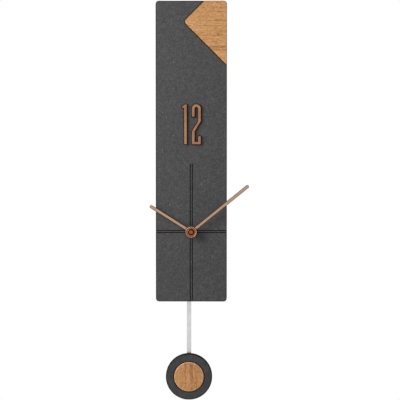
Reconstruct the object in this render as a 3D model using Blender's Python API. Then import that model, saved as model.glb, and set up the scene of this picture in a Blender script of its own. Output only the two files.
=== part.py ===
"""Pendulum wall clock: slim board, two hands, quartz movement and a swinging bob.

Units are metres. +X points right, +Y into the wall and +Z up. The wall is the plane y = 0 and
the origin lies on the rear face of the hanger plate, just above its keyhole slot.
"""
import math

import bmesh
import bpy
from mathutils import Matrix, Vector

# Clearances
GAP = 0.0003                    # between pieces that touch
RUN = 0.0003                    # round a turning arbor
BAY_CLEARANCE = 0.0010          # round the movement in its pocket
OVERCUT = 0.002                 # how far a cutter passes the surface it opens
OPEN_SIDE_OVERCUT = 0.010       # the same where a slanting cut leaves the board

# Board
PANEL_WIDTH = 0.106
PANEL_HEIGHT = 0.448
PANEL_THICKNESS = 0.012
PANEL_CORNER_RADIUS = 0.005
PANEL_CHAMFER = 0.0008
PANEL_TOP = 0.0275              # above the origin
STANDOFF = 0.026                # wall to the board's rear face
POCKET_DEPTH = 0.0035
HANDS_BELOW_TOP = 0.343
GROOVE_WIDTH = 0.0010
GROOVE_PITCH = 0.0031
GROOVE_DEPTH = 0.0009
GROOVE_RISE = 0.101             # vertical pair, above the hands' axis

# Oak corner
OAK_REACH = 0.065               # from the board's right edge to the inner point
OAK_POINT_DROP = 0.0310         # inner point below the board's top
OAK_FILLET = 0.005
OAK_THICKNESS = 0.0045
OAK_PROUD = 0.0007
OAK_JOINT = 0.0005
OAK_CHAMFER = 0.0005

# Numerals
NUMERAL_HEIGHT = 0.060
NUMERAL_DROP = 0.153            # numeral top below the board's top
NUMERAL_THICKNESS = 0.0030
NUMERAL_STROKE = 0.0047
NUMERAL_CHAMFER = 0.0003
ONE_STEM_LEFT = -0.0114
ONE_FLAG_REACH = 0.0036
ONE_FLAG_DROP = 0.0045
TWO_LEFT = 0.0006
TWO_WIDTH = 0.0139
TWO_HOOK_DROP = 0.019
TWO_BEND_DROP = 0.0255
TWO_BEND_HEIGHT = 0.0150
TWO_BASE_HEIGHT = 0.0040
TWO_TOE_HEIGHT = 0.0125

# Rear frame
RAIL_WIDTH = 0.012
RAIL_INSET = 0.008              # from the board's side edge
RAIL_END_INSET = 0.010          # from the board's top and bottom edges
RAIL_CHAMFER = 0.0006
TOP_RAIL_HEIGHT = 0.048
HANGER_WIDTH = 0.044
HANGER_HEIGHT = 0.034
HANGER_THICKNESS = 0.0015
HANGER_RISE = 0.011             # plate top above the origin
HANGER_CORNER_RADIUS = 0.003
KEYHOLE_HEAD_RADIUS = 0.0045
KEYHOLE_SLOT_RADIUS = 0.0023
KEYHOLE_SLOT_DROP = 0.0055      # slot's upper centre below the origin
KEYHOLE_LENGTH = 0.0095
KEYHOLE_POCKET_DEPTH = 0.012
KEYHOLE_POCKET_MARGIN = 0.002   # beyond the keyhole's round part
KEYHOLE_POCKET_DROP = 0.0005    # pocket top below the origin
HANGER_SCREW_SPACING = 0.032
HANGER_SCREW_DROP = 0.006
HANGER_SCREW_RADIUS = 0.0014
HANGER_SCREW_LENGTH = 0.012
RAIL_SCREW_RADIUS = 0.0018
RAIL_SCREW_HEAD_RADIUS = 0.0032
RAIL_SCREW_HEAD_HEIGHT = 0.0020
RAIL_SCREW_CROWN_HEIGHT = 0.0006
RAIL_SCREW_CROWN_INSET = 0.0008
RAIL_SCREW_BITE = 0.0055
RAIL_SCREW_INSET = 0.050        # from the board's top and bottom edges
RAIL_COUNTERBORE = 0.008
PAD_RADIUS = 0.0050
PAD_INSET = 0.022               # above the rail's lower end
PAD_CHAMFER = 0.0004

# Movement
MOVEMENT_WIDTH = 0.056
MOVEMENT_ABOVE = 0.028          # case top above the hands' axis
MOTOR_BELOW = 0.028             # motor section below the hands' axis
DRIVE_HEIGHT = 0.032            # pendulum drive section
MOVEMENT_DEPTH = 0.0155
MOVEMENT_CORNER = 0.003
CASE_WALL = 0.0015
CASE_WEB = 0.0012               # between the wheel room and the battery room
ARM_SLOT_MARGIN = 0.0015        # beyond the arm at its limits
ARM_SLOT_AHEAD = 0.0012         # in front of the arm
COVER_THICKNESS = 0.0012
WINDOW_CORNER_RADIUS = 0.001
RUBBER_THICKNESS = 0.0008
RUBBER_RADIUS = 0.009
BUSH_RADIUS = 0.0042
BUSH_FLANGE_RADIUS = 0.0065
BUSH_FLANGE_THICKNESS = 0.0010
BUSH_STAND = 0.0050             # bush end in front of the board
BUSH_CHAMFER = 0.0005
BRASS_WASHER_RADIUS = 0.0070
BRASS_WASHER_THICKNESS = 0.0006
NUT_ACROSS_FLATS = 0.011
NUT_THICKNESS = 0.0024

# Battery
CELL_DIAMETER = 0.0142
CELL_LENGTH = 0.0490
CELL_NUB = 0.0012
CELL_NUB_RADIUS = 0.0028
CELL_CHAMFER = 0.0005
CELL_BELOW_AXIS = 0.0195
CONTACT_THICKNESS = 0.0004
CONTACT_HEIGHT = 0.0110
CONTACT_CHAMFER = 0.0001

# Wheel work: modules and tooth counts
HOUR_MODULE = 0.0005
CANNON_TEETH = 10
WORK_WHEEL_TEETH = 30
WORK_PINION_TEETH = 8
HOUR_TEETH = 32
WORK_ANGLE = math.radians(150)
TRAIN_CENTRES = 0.009           # centre wheel to third wheel
CENTRE_TEETH = 64
THIRD_PINION_TEETH = 8
THIRD_TEETH = 60
SECONDS_PINION_TEETH = 8
THIRD_ANGLE = math.radians(30)
SECONDS_MODULE = 0.0003
SECONDS_TEETH = 30
STEP_PINION_TEETH = 6
STEP_ANGLE = math.radians(90)
ROTOR_MODULE = 0.00025
STEP_TEETH = 36
ROTOR_PINION_TEETH = 6
ROTOR_ANGLE = math.radians(135)
ROTOR_RADIUS = 0.0022
ROTOR_THICKNESS = 0.0014
WHEEL_THICKNESS = 0.0007
LAYER_GAP = 0.0003
SECONDS_ARBOR_RADIUS = 0.00045
MINUTE_PIPE_RADIUS = 0.0016
HOUR_PIPE_RADIUS = 0.0026
WORK_ARBOR_RADIUS = 0.0008
ARBOR_RADIUS = 0.0004
KNOB_RADIUS = 0.0045
KNOB_THICKNESS = 0.0026
KNOB_TEETH = 20
KNOB_SCALLOP = 0.0004
KNOB_FLOOR = 0.0004             # behind the arbor's end
TRAIN_PLATE_THICKNESS = 0.0008
REAR_ARBOR_RADIUS = 0.0003      # seconds arbor behind its wheel

# Stepping motor
STATOR_AIR = 0.0005             # round the rotor magnet
STATOR_RING = 0.0014            # yoke's round edge beyond the rotor magnet
STATOR_THICKNESS = 0.0006
STATOR_HALF_WIDTH = 0.0100
STATOR_FOOT_DROP = 0.0016       # below the rotor's axis
STATOR_POST = 0.0018
STATOR_BAR = 0.0020
STATOR_TOP_GAP = 0.0025         # bar below the wheel room's top
COIL_BUILD = 0.0018

# Circuit
BOARD_LEFT = 0.0180             # right of the hands' axis
BOARD_DROP = 0.0085             # lower edge below the hands' axis
BOARD_THICKNESS = 0.0010
BOARD_AHEAD = 0.0026            # front face in front of the cover
CHIP_INSET = 0.0015
CHIP_WIDTH = 0.0050
CHIP_HEIGHT = 0.0060
CHIP_DROP = 0.0060              # below the circuit board's upper edge
CHIP_THICKNESS = 0.0012
CHIP_CHAMFER = 0.0002
CRYSTAL_RADIUS = 0.0010
CRYSTAL_LENGTH = 0.0060
CRYSTAL_INSET = 0.0040

# Hands
HAND_WIDTH = 0.0039
HAND_THICKNESS = 0.0008
MINUTE_REACH = 0.110
HOUR_REACH = 0.073
MINUTE_ANGLE = math.radians(51.0)     # clockwise from twelve
HOUR_ANGLE = math.radians(-57.8)
HAND_BOSS_RADIUS = 0.0050
HOUR_LIFT = 0.0018              # hour blade in front of the bush
HAND_SPACING = 0.0024           # between the two blades
HAND_NUT_RADIUS = 0.0028
HAND_NUT_THICKNESS = 0.0014
CAP_RADIUS = 0.0088
CAP_HEIGHT = 0.0042
CAP_RIM = 0.0012
CAP_RIM_SLOPE = 0.0003
CAP_RING_RADIUS = 0.0045
CAP_NUB_RADIUS = 0.0032
CAP_NUB_RISE = 0.0014           # in front of the ring and the rim
CAP_NUB_CHAMFER = 0.0006
CAP_DISH = 0.0004               # face behind the ring and the rim

# Pendulum
PENDULUM_X = -0.0038
PIVOT_BELOW_AXIS = 0.034
AXLE_RADIUS = 0.00075
ARM_THICKNESS = 0.0016
ARM_WIDTH = 0.0050
ARM_HUB_RADIUS = 0.0028
ARM_FRONT = 0.0170              # wall to the arm's front face
ARM_SWING = math.radians(8)
ARM_MAGNET_DROP = 0.0160        # below the pivot
ARM_MAGNET_RADIUS = 0.0035
ARM_MAGNET_THICKNESS = 0.0025
DRIVE_COIL_RADIUS = 0.0070
DRIVE_COIL_BORE = 0.0025
DRIVE_COIL_THICKNESS = 0.0045
PEG_BELOW_CASE = 0.0065
PEG_RADIUS = 0.0010
PEG_HEAD_RADIUS = 0.0017
PEG_HEAD_THICKNESS = 0.0006
PEG_PLAY = 0.0005               # between the arm and the rod
ROD_WIDTH = 0.0065
ROD_THICKNESS = 0.0008
ROD_CORNER_RADIUS = 0.0008
ROD_ABOVE_PEG = 0.0043
ROD_KEYHOLE_LENGTH = 0.0045
ROD_TAIL = 0.0010               # rod end below the bob
BOB_RADIUS = 0.035
BOB_THICKNESS = 0.0085
BOB_BELOW_TOP = 0.5637          # bob centre below the board's top
BOB_EDGE = 0.0010
BOB_LUG_WIDTH = 0.0060
BOB_LUG_RISE = 0.0014
BOB_LUG_ROOT = 0.0020           # lug inside the bob's rim
BOB_LUG_BACK = 0.0005           # in front of the bob's rear face
DISC_RADIUS = 0.0222
DISC_THICKNESS = 0.0040
DISC_PROUD = 0.0006
DISC_JOINT = 0.0006
DISC_CHAMFER = 0.0005
CLIP_WIDTH = 0.020
CLIP_HEIGHT = 0.012
CLIP_THICKNESS = 0.0006
CLIP_CORNER_RADIUS = 0.002
CLIP_SCREW_INSET = 0.0035
BOB_SCREW_RADIUS = 0.0010
BOB_SCREW_LENGTH = 0.0045
BOB_SCREW_POINT = 0.0005
BOB_SCREW_HEAD_RADIUS = 0.0020
BOB_SCREW_HEAD_HEIGHT = 0.0010
BOB_SCREW_HEAD_EDGE = 0.0008

# Derived places: depths are y values, negative in front of the wall
AXIS_Z = PANEL_TOP - HANDS_BELOW_TOP
PANEL_BOTTOM = PANEL_TOP - PANEL_HEIGHT
PANEL_BACK = -STANDOFF
PANEL_FRONT = PANEL_BACK - PANEL_THICKNESS
POCKET_FLOOR = PANEL_BACK - POCKET_DEPTH
HALF_PANEL = PANEL_WIDTH / 2
RAIL_BACK = -(HANGER_THICKNESS + GAP)
RAIL_FRONT = PANEL_BACK + GAP
RAIL_OUTER = HALF_PANEL - RAIL_INSET
RAIL_INNER = RAIL_OUTER - RAIL_WIDTH
RAIL_TOP = PANEL_TOP - RAIL_END_INSET
RAIL_BOTTOM = PANEL_BOTTOM + RAIL_END_INSET

RUBBER_FRONT = POCKET_FLOOR + GAP
CASE_FRONT = RUBBER_FRONT + RUBBER_THICKNESS + GAP
CASE_INSIDE = CASE_FRONT + CASE_WALL
CASE_BACK = CASE_FRONT + MOVEMENT_DEPTH
COVER_FRONT = CASE_BACK + GAP
COVER_BACK = COVER_FRONT + COVER_THICKNESS
CASE_BOTTOM = AXIS_Z - MOTOR_BELOW - DRIVE_HEIGHT
CASE_TOP = AXIS_Z + MOVEMENT_ABOVE
INNER_HALF = MOVEMENT_WIDTH / 2 - CASE_WALL

FLANGE_FRONT = CASE_INSIDE + GAP
FLANGE_BACK = FLANGE_FRONT + BUSH_FLANGE_THICKNESS
BUSH_FRONT = PANEL_FRONT - BUSH_STAND
BUSH_BORE = HOUR_PIPE_RADIUS + RUN

# Layers of the wheel work, front to rear
HOUR_WHEEL_FRONT = FLANGE_BACK + LAYER_GAP
HOUR_WHEEL_BACK = HOUR_WHEEL_FRONT + WHEEL_THICKNESS
WORK_FRONT = HOUR_WHEEL_BACK + LAYER_GAP
WORK_BACK = WORK_FRONT + WHEEL_THICKNESS
PLATE_FRONT = WORK_BACK + LAYER_GAP
PLATE_BACK = PLATE_FRONT + TRAIN_PLATE_THICKNESS
CENTRE_FRONT = PLATE_BACK + LAYER_GAP
CENTRE_BACK = CENTRE_FRONT + WHEEL_THICKNESS
THIRD_FRONT = CENTRE_BACK + LAYER_GAP
THIRD_BACK = THIRD_FRONT + WHEEL_THICKNESS
SECONDS_FRONT = THIRD_BACK + LAYER_GAP
SECONDS_BACK = SECONDS_FRONT + WHEEL_THICKNESS
STEP_FRONT = SECONDS_BACK + LAYER_GAP
STEP_BACK = STEP_FRONT + WHEEL_THICKNESS
ROTOR_FRONT = STEP_BACK + LAYER_GAP
ROTOR_BACK = ROTOR_FRONT + ROTOR_THICKNESS
ARBOR_END = COVER_FRONT - GAP
KNOB_FRONT = COVER_BACK + GAP
KNOB_BACK = KNOB_FRONT + KNOB_THICKNESS
SOCKET_END = KNOB_BACK - KNOB_FLOOR

HOUR_BLADE_BACK = BUSH_FRONT - HOUR_LIFT
HOUR_BLADE_FRONT = HOUR_BLADE_BACK - HAND_THICKNESS
MINUTE_BLADE_BACK = HOUR_BLADE_FRONT - HAND_SPACING
MINUTE_BLADE_FRONT = MINUTE_BLADE_BACK - HAND_THICKNESS
HAND_NUT_BACK = MINUTE_BLADE_FRONT - GAP
HAND_NUT_FRONT = HAND_NUT_BACK - HAND_NUT_THICKNESS
CAP_BACK = HAND_NUT_BACK
CAP_FRONT = CAP_BACK - CAP_HEIGHT

CENTRE = (0.0, AXIS_Z)
CENTRE_MODULE = 2 * TRAIN_CENTRES / (CENTRE_TEETH + THIRD_PINION_TEETH)
THIRD_MODULE = 2 * TRAIN_CENTRES / (THIRD_TEETH + SECONDS_PINION_TEETH)
WORK_CENTRES = HOUR_MODULE * (CANNON_TEETH + WORK_WHEEL_TEETH) / 2
STEP_CENTRES = SECONDS_MODULE * (SECONDS_TEETH + STEP_PINION_TEETH) / 2
ROTOR_CENTRES = ROTOR_MODULE * (STEP_TEETH + ROTOR_PINION_TEETH) / 2

PIVOT_Z = AXIS_Z - PIVOT_BELOW_AXIS
ARM_FRONT_Y = -ARM_FRONT
ARM_BACK_Y = ARM_FRONT_Y + ARM_THICKNESS
ROD_FRONT_Y = ARM_BACK_Y + PEG_PLAY
ROD_BACK_Y = ROD_FRONT_Y + ROD_THICKNESS
PENDULUM_ORIGIN = (PENDULUM_X, 0.0, PIVOT_Z)
PEG_Z = CASE_BOTTOM - PEG_BELOW_CASE
BOB_Z = PANEL_TOP - BOB_BELOW_TOP
BOB_BACK_Y = ROD_FRONT_Y - GAP
BOB_FRONT_Y = BOB_BACK_Y - BOB_THICKNESS

COLOURS = {
    "anthracite": ((0.080, 0.080, 0.082), 0.85, 0.0),
    "oak": ((0.584, 0.301, 0.127), 0.60, 0.0),
    "copper": ((0.430, 0.212, 0.107), 0.40, 1.0),
    "rose_gold": ((0.610, 0.371, 0.231), 0.32, 1.0),
    "silver": ((0.760, 0.765, 0.770), 0.30, 1.0),
    "pine": ((0.520, 0.360, 0.190), 0.70, 0.0),
    "steel": ((0.560, 0.570, 0.580), 0.35, 1.0),
    "brass": ((0.640, 0.440, 0.160), 0.35, 1.0),
    "black_plastic": ((0.018, 0.018, 0.020), 0.50, 0.0),
    "white_plastic": ((0.780, 0.770, 0.740), 0.45, 0.0),
    "rubber": ((0.025, 0.025, 0.025), 0.90, 0.0),
    "board_green": ((0.020, 0.170, 0.070), 0.45, 0.0),
    "winding": ((0.480, 0.180, 0.070), 0.35, 1.0),
    "magnet": ((0.110, 0.110, 0.120), 0.40, 1.0),
    "cell_wrap": ((0.050, 0.140, 0.260), 0.35, 0.0),
}


# Shared shapes

def material(name):
    """Return the named finish, made on first use."""
    found = bpy.data.materials.get(name)
    if found:
        return found
    colour, roughness, metallic = COLOURS[name]
    made = bpy.data.materials.new(name)
    made.use_nodes = True
    shader = made.node_tree.nodes["Principled BSDF"]
    shader.inputs["Base Color"].default_value = (*colour, 1.0)
    shader.inputs["Roughness"].default_value = roughness
    shader.inputs["Metallic"].default_value = metallic
    made.diffuse_color = (*colour, 1.0)
    return made


def place(name, bm, finish, origin=(0.0, 0.0, 0.0), smooth=False):
    """Turn a bmesh in world coordinates into a named object with its origin at the given point."""
    bmesh.ops.recalc_face_normals(bm, faces=bm.faces)
    bmesh.ops.translate(bm, verts=bm.verts, vec=-Vector(origin))
    mesh = bpy.data.meshes.new(name)
    bm.to_mesh(mesh)
    bm.free()
    if smooth:
        mesh.shade_smooth()
        mesh.set_sharp_from_angle(angle=math.radians(35))
    mesh.materials.append(material(finish))
    made = bpy.data.objects.new(name, mesh)
    made.location = origin
    bpy.context.scene.collection.objects.link(made)
    return made


def cutter(name, bm):
    """A hidden object that Boolean modifiers use."""
    made = place(name, bm, "steel")
    made.hide_render = True
    made.display_type = "WIRE"
    return made


def combine(target, tool, operation):
    """Add an exact Boolean modifier to the target."""
    modifier = target.modifiers.new(tool.name, "BOOLEAN")
    modifier.operation = operation
    modifier.solver = "EXACT"
    modifier.object = tool


def cut(target, tool):
    """Take the tool's shape out of the target."""
    combine(target, tool, "DIFFERENCE")


def block(low, high, bevel=0.0):
    """A box between two corners, with an optional edge bevel."""
    bm = bmesh.new()
    size = [b - a for a, b in zip(low, high)]
    centre = [(a + b) / 2 for a, b in zip(low, high)]
    bmesh.ops.create_cube(bm, size=1.0)
    bmesh.ops.scale(bm, vec=size, verts=bm.verts)
    bmesh.ops.translate(bm, vec=centre, verts=bm.verts)
    if bevel:
        bmesh.ops.bevel(bm, geom=bm.edges[:], offset=bevel, segments=1, affect="EDGES")
    return bm


def plate(loops, front, back, chamfer=0.0):
    """Extrude closed outlines of (x, z) points along y; loops after the first are holes."""
    bm = bmesh.new()
    edges = []
    for loop in loops:
        verts = [bm.verts.new((x, front, z)) for x, z in loop]
        edges += [bm.edges.new((a, b)) for a, b in zip(verts, verts[1:] + verts[:1])]
    rim = set(edges)
    bmesh.ops.triangle_fill(bm, use_beauty=True, edges=edges, normal=(0.0, -1.0, 0.0))
    faces = bm.faces[:]
    grown = bmesh.ops.extrude_face_region(bm, geom=faces, use_keep_orig=True)
    moved = [item for item in grown["geom"] if isinstance(item, bmesh.types.BMVert)]
    bmesh.ops.translate(bm, vec=(0.0, back - front, 0.0), verts=moved)
    if chamfer:
        sharp = [edge for edge in rim if edge.is_valid]
        bmesh.ops.bevel(bm, geom=sharp, offset=chamfer, segments=1, affect="EDGES")
    return bm


def turned(profile, centre, steps=32):
    """Spin a profile of (radius, y) points about the y direction through (x, z) centre."""
    x, z = centre
    bm = bmesh.new()
    verts = [bm.verts.new((x + radius, y, z)) for radius, y in profile]
    pairs = list(zip(verts, verts[1:]))
    if profile[0][0] > 0 or profile[-1][0] > 0:
        pairs.append((verts[-1], verts[0]))
    edges = [bm.edges.new(pair) for pair in pairs]
    bmesh.ops.spin(bm, geom=verts + edges, cent=(x, 0.0, z), axis=(0.0, 1.0, 0.0),
                   angle=2 * math.pi, steps=steps, use_merge=True)
    bmesh.ops.remove_doubles(bm, verts=bm.verts, dist=1e-6)
    return bm


def rod_profile(radius, front, back):
    """Profile of a plain solid cylinder."""
    return [(0.0, front), (radius, front), (radius, back), (0.0, back)]


def tube_profile(bore, radius, front, back):
    """Profile of a plain tube."""
    return [(bore, front), (radius, front), (radius, back), (bore, back)]


def arc(centre, radius, start, end, steps):
    """Points on an arc of an (x, z) outline, angles in degrees."""
    cx, cz = centre
    points = []
    for step in range(steps + 1):
        angle = math.radians(start + (end - start) * step / steps)
        points.append((cx + radius * math.cos(angle), cz + radius * math.sin(angle)))
    return points


def circle(centre, radius, steps=24):
    return arc(centre, radius, 0, 360, steps)[:-1]


def rounded_rectangle(left, bottom, right, top, radius, steps=5):
    """Outline of a rectangle with equal corner arcs."""
    return (arc((right - radius, top - radius), radius, 90, 0, steps)
            + arc((right - radius, bottom + radius), radius, 0, -90, steps)
            + arc((left + radius, bottom + radius), radius, -90, -180, steps)
            + arc((left + radius, top - radius), radius, 180, 90, steps))


def rectangle(left, bottom, right, top):
    return [(left, bottom), (right, bottom), (right, top), (left, top)]


def polar(centre, distance, angle):
    return (centre[0] + distance * math.cos(angle), centre[1] + distance * math.sin(angle))


def gear_outline(teeth, module, centre, phase):
    """Outline of a wheel whose first tooth points along the phase angle."""
    pitch_radius = teeth * module / 2
    pitch = 2 * math.pi / teeth
    small = teeth <= 12
    half = pitch * (0.36 if small else 0.38) / 2
    tip = pitch_radius + module * (0.65 if small else 0.90)
    root = pitch_radius - module * (1.35 if small else 1.10)
    points = []
    for tooth in range(teeth):
        middle = phase + tooth * pitch
        for radius, offset in ((root, -1.2 * half), (tip, -0.5 * half),
                               (tip, 0.5 * half), (root, 1.2 * half)):
            points.append(polar(centre, radius, middle + offset))
    return points


def meshing_phase(phase, teeth, mate_teeth, direction):
    """Phase of a wheel in mesh with another one, which lies back along the direction."""
    return direction + math.pi + math.pi / mate_teeth - (phase - direction) * teeth / mate_teeth


def axis_point(centre):
    """The point where a wheel's axis crosses the wall plane."""
    return (centre[0], 0.0, centre[1])


def add_wheel(name, finish, centre, pieces, bore=0.0):
    """A wheel built of stacked bodies joined by unions; the first body carries the name.

    Each piece is (outline, front, back). All pieces overlap slightly along y where they join.
    """
    base = None
    for index, (outline, front, back) in enumerate(pieces):
        loops = [outline]
        if bore:
            loops.append(circle(centre, bore, 16))
        bm = plate(loops, front, back)
        if index == 0:
            base = place(name, bm, finish, axis_point(centre))
        else:
            combine(base, cutter(f"{name}_part_{index}", bm), "UNION")
    return base


# Board and what it carries

def panel_outline():
    """The board's outline."""
    return rounded_rectangle(-HALF_PANEL, PANEL_BOTTOM, HALF_PANEL, PANEL_TOP,
                             PANEL_CORNER_RADIUS)


def oak_sides(grow):
    """The corner piece's two 45 degree sides, moved outwards by grow.

    Returns the fillet's centre and radius, the x where the upper side meets the board's top and
    the z where the lower side meets its right edge.
    """
    point_x = HALF_PANEL - OAK_REACH - grow * math.sqrt(2)
    point_z = PANEL_TOP - OAK_POINT_DROP
    radius = OAK_FILLET + grow
    centre = (point_x + radius * math.sqrt(2), point_z)
    top_x = point_x + (PANEL_TOP - point_z)
    right_z = point_z - (HALF_PANEL - point_x)
    return centre, radius, top_x, right_z


def add_oak_corner():
    """Oak corner inlay, flush with the board's top and right edges."""
    centre, radius, top_x, right_z = oak_sides(0.0)
    corner = (HALF_PANEL - PANEL_CORNER_RADIUS, PANEL_TOP - PANEL_CORNER_RADIUS)
    outline = ([(top_x, PANEL_TOP)]
               + arc(corner, PANEL_CORNER_RADIUS, 90, 0, 5)
               + [(HALF_PANEL, right_z)]
               + arc(centre, radius, 225, 135, 5))
    front = PANEL_FRONT - OAK_PROUD
    bm = plate([outline], front, front + OAK_THICKNESS, OAK_CHAMFER)
    place("oak_corner_inlay", bm, "oak")


def oak_rebate():
    """Cutter for the corner rebate, open at the board's top, right side and front."""
    centre, radius, top_x, right_z = oak_sides(OAK_JOINT)
    over = OPEN_SIDE_OVERCUT
    outline = ([(top_x + over, PANEL_TOP + over), (HALF_PANEL + over, PANEL_TOP + over),
                (HALF_PANEL + over, right_z - over)]
               + arc(centre, radius, 225, 135, 5))
    floor = PANEL_FRONT - OAK_PROUD + OAK_THICKNESS + GAP
    return plate([outline], PANEL_FRONT - over, floor)


def add_panel():
    """Front board with its rebate, grooves, movement pocket, bush hole and pilot holes."""
    bm = plate([panel_outline()], PANEL_FRONT, PANEL_BACK, PANEL_CHAMFER)
    panel = place("front_panel", bm, "anthracite")
    cut(panel, cutter("panel_rebate", oak_rebate()))
    over = OVERCUT
    floor = PANEL_FRONT + GROOVE_DEPTH
    half = GROOVE_WIDTH / 2
    for side in (-1, 1):
        middle = side * GROOVE_PITCH / 2
        upright = block((middle - half, PANEL_FRONT - over, PANEL_BOTTOM - over),
                        (middle + half, floor, AXIS_Z + GROOVE_RISE))
        cut(panel, cutter(f"groove_upright_{side + 2}", upright))
        level = block((-HALF_PANEL - over, PANEL_FRONT - over, AXIS_Z + middle - half),
                      (HALF_PANEL + over, floor, AXIS_Z + middle + half))
        cut(panel, cutter(f"groove_level_{side + 2}", level))
    half_bay = MOVEMENT_WIDTH / 2 + BAY_CLEARANCE
    pocket = plate([rounded_rectangle(-half_bay, CASE_BOTTOM - BAY_CLEARANCE, half_bay,
                                      CASE_TOP + BAY_CLEARANCE, MOVEMENT_CORNER)],
                   POCKET_FLOOR, PANEL_BACK + over)
    cut(panel, cutter("movement_pocket", pocket))
    hole = turned(rod_profile(BUSH_RADIUS + GAP, PANEL_FRONT - over, PANEL_BACK + over), CENTRE)
    cut(panel, cutter("bush_hole", hole))
    for number, (x, z) in enumerate(rail_screw_places(), 1):
        depth = PANEL_BACK - RAIL_SCREW_BITE - GAP
        pilot = turned(rod_profile(RAIL_SCREW_RADIUS + GAP, depth, PANEL_BACK + over), (x, z), 12)
        cut(panel, cutter(f"panel_pilot_{number}", pilot))


def add_numerals():
    """Raised one and two in front of the board."""
    top = PANEL_TOP - NUMERAL_DROP
    back = PANEL_FRONT - GAP
    front = back - NUMERAL_THICKNESS
    left = ONE_STEM_LEFT
    right = left + NUMERAL_STROKE
    round_off = NUMERAL_STROKE / 3
    one = ([(left, top - NUMERAL_HEIGHT), (right, top - NUMERAL_HEIGHT)]
           + arc((right - round_off, top - round_off), round_off, 0, 90, 4)
           + [(left + round_off, top),
              (left - ONE_FLAG_REACH, top - ONE_FLAG_DROP),
              (left - ONE_FLAG_REACH * 0.7, top - ONE_FLAG_DROP - round_off),
              (left, top - ONE_FLAG_DROP - round_off)])
    place("numeral_one", plate([one], front, back, NUMERAL_CHAMFER), "copper")

    left = TWO_LEFT
    right = left + TWO_WIDTH
    bottom = top - NUMERAL_HEIGHT
    stroke = NUMERAL_STROKE
    outer = TWO_WIDTH / 2
    crown = (left + outer, top - outer)
    bend = top - TWO_BEND_DROP
    landing = bend - TWO_BEND_HEIGHT
    toe = bottom + TWO_TOE_HEIGHT
    two = ([(left, top - TWO_HOOK_DROP)]
           + arc(crown, outer, 180, 0, 14)
           + [(right, bend), (left + stroke, landing), (left + stroke, bottom + TWO_BASE_HEIGHT),
              (right - stroke, bottom + TWO_BASE_HEIGHT), (right - stroke, toe), (right, toe),
              (right, bottom), (left, bottom), (left, landing), (right - stroke, bend)]
           + arc(crown, outer - stroke, 0, 180, 10)
           + [(left + stroke, top - TWO_HOOK_DROP)])
    place("numeral_two", plate([two], front, back, NUMERAL_CHAMFER), "copper")


# Rear frame and hanging hardware

def rail_screw_places():
    """Centres of the four rail screws."""
    middle = RAIL_INNER + RAIL_WIDTH / 2
    return [(side * middle, z) for z in (PANEL_TOP - RAIL_SCREW_INSET,
                                         PANEL_BOTTOM + RAIL_SCREW_INSET) for side in (-1, 1)]


def add_rails():
    """Side rails with their screws, and the top rail with the hanger's pocket."""
    over = OVERCUT
    rails = {}
    for name, side in (("left_rail", -1), ("right_rail", 1)):
        edges = sorted((side * RAIL_INNER, side * RAIL_OUTER))
        bm = block((edges[0], RAIL_FRONT, RAIL_BOTTOM), (edges[1], RAIL_BACK, RAIL_TOP),
                   RAIL_CHAMFER)
        rails[side] = place(name, bm, "pine")
    seat = RAIL_BACK - RAIL_COUNTERBORE
    for number, (x, z) in enumerate(rail_screw_places(), 1):
        side = 1 if x > 0 else -1
        bore = turned([(0.0, RAIL_FRONT - over), (RAIL_SCREW_RADIUS + GAP, RAIL_FRONT - over),
                       (RAIL_SCREW_RADIUS + GAP, seat), (RAIL_SCREW_HEAD_RADIUS + GAP, seat),
                       (RAIL_SCREW_HEAD_RADIUS + GAP, RAIL_BACK + over),
                       (0.0, RAIL_BACK + over)], (x, z), 16)
        cut(rails[side], cutter(f"rail_bore_{number}", bore))
        head_front = seat + GAP
        crown = head_front + RAIL_SCREW_HEAD_HEIGHT
        screw = turned([(0.0, PANEL_BACK - RAIL_SCREW_BITE),
                        (RAIL_SCREW_RADIUS, PANEL_BACK - RAIL_SCREW_BITE + RAIL_SCREW_RADIUS),
                        (RAIL_SCREW_RADIUS, head_front), (RAIL_SCREW_HEAD_RADIUS, head_front),
                        (RAIL_SCREW_HEAD_RADIUS, crown - RAIL_SCREW_CROWN_HEIGHT),
                        (RAIL_SCREW_HEAD_RADIUS - RAIL_SCREW_CROWN_INSET, crown),
                        (0.0, crown)], (x, z), 16)
        place(f"rail_screw_{number}", screw, "steel", smooth=True)

    inner = RAIL_INNER - GAP
    top_rail = place("top_rail", block((-inner, RAIL_FRONT, RAIL_TOP - TOP_RAIL_HEIGHT),
                                       (inner, RAIL_BACK, RAIL_TOP), RAIL_CHAMFER), "pine")
    half = KEYHOLE_HEAD_RADIUS + KEYHOLE_POCKET_MARGIN
    low = -KEYHOLE_SLOT_DROP - KEYHOLE_LENGTH - half
    pocket = block((-half, RAIL_BACK - KEYHOLE_POCKET_DEPTH, low),
                   (half, RAIL_BACK + over, -KEYHOLE_POCKET_DROP))
    cut(top_rail, cutter("keyhole_pocket", pocket))
    for number, x in enumerate((-HANGER_SCREW_SPACING / 2, HANGER_SCREW_SPACING / 2), 1):
        deep = -HANGER_SCREW_LENGTH - 2 * GAP
        pilot = turned(rod_profile(HANGER_SCREW_RADIUS + GAP, deep, RAIL_BACK + over),
                       (x, -HANGER_SCREW_DROP), 12)
        cut(top_rail, cutter(f"hanger_pilot_{number}", pilot))


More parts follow.
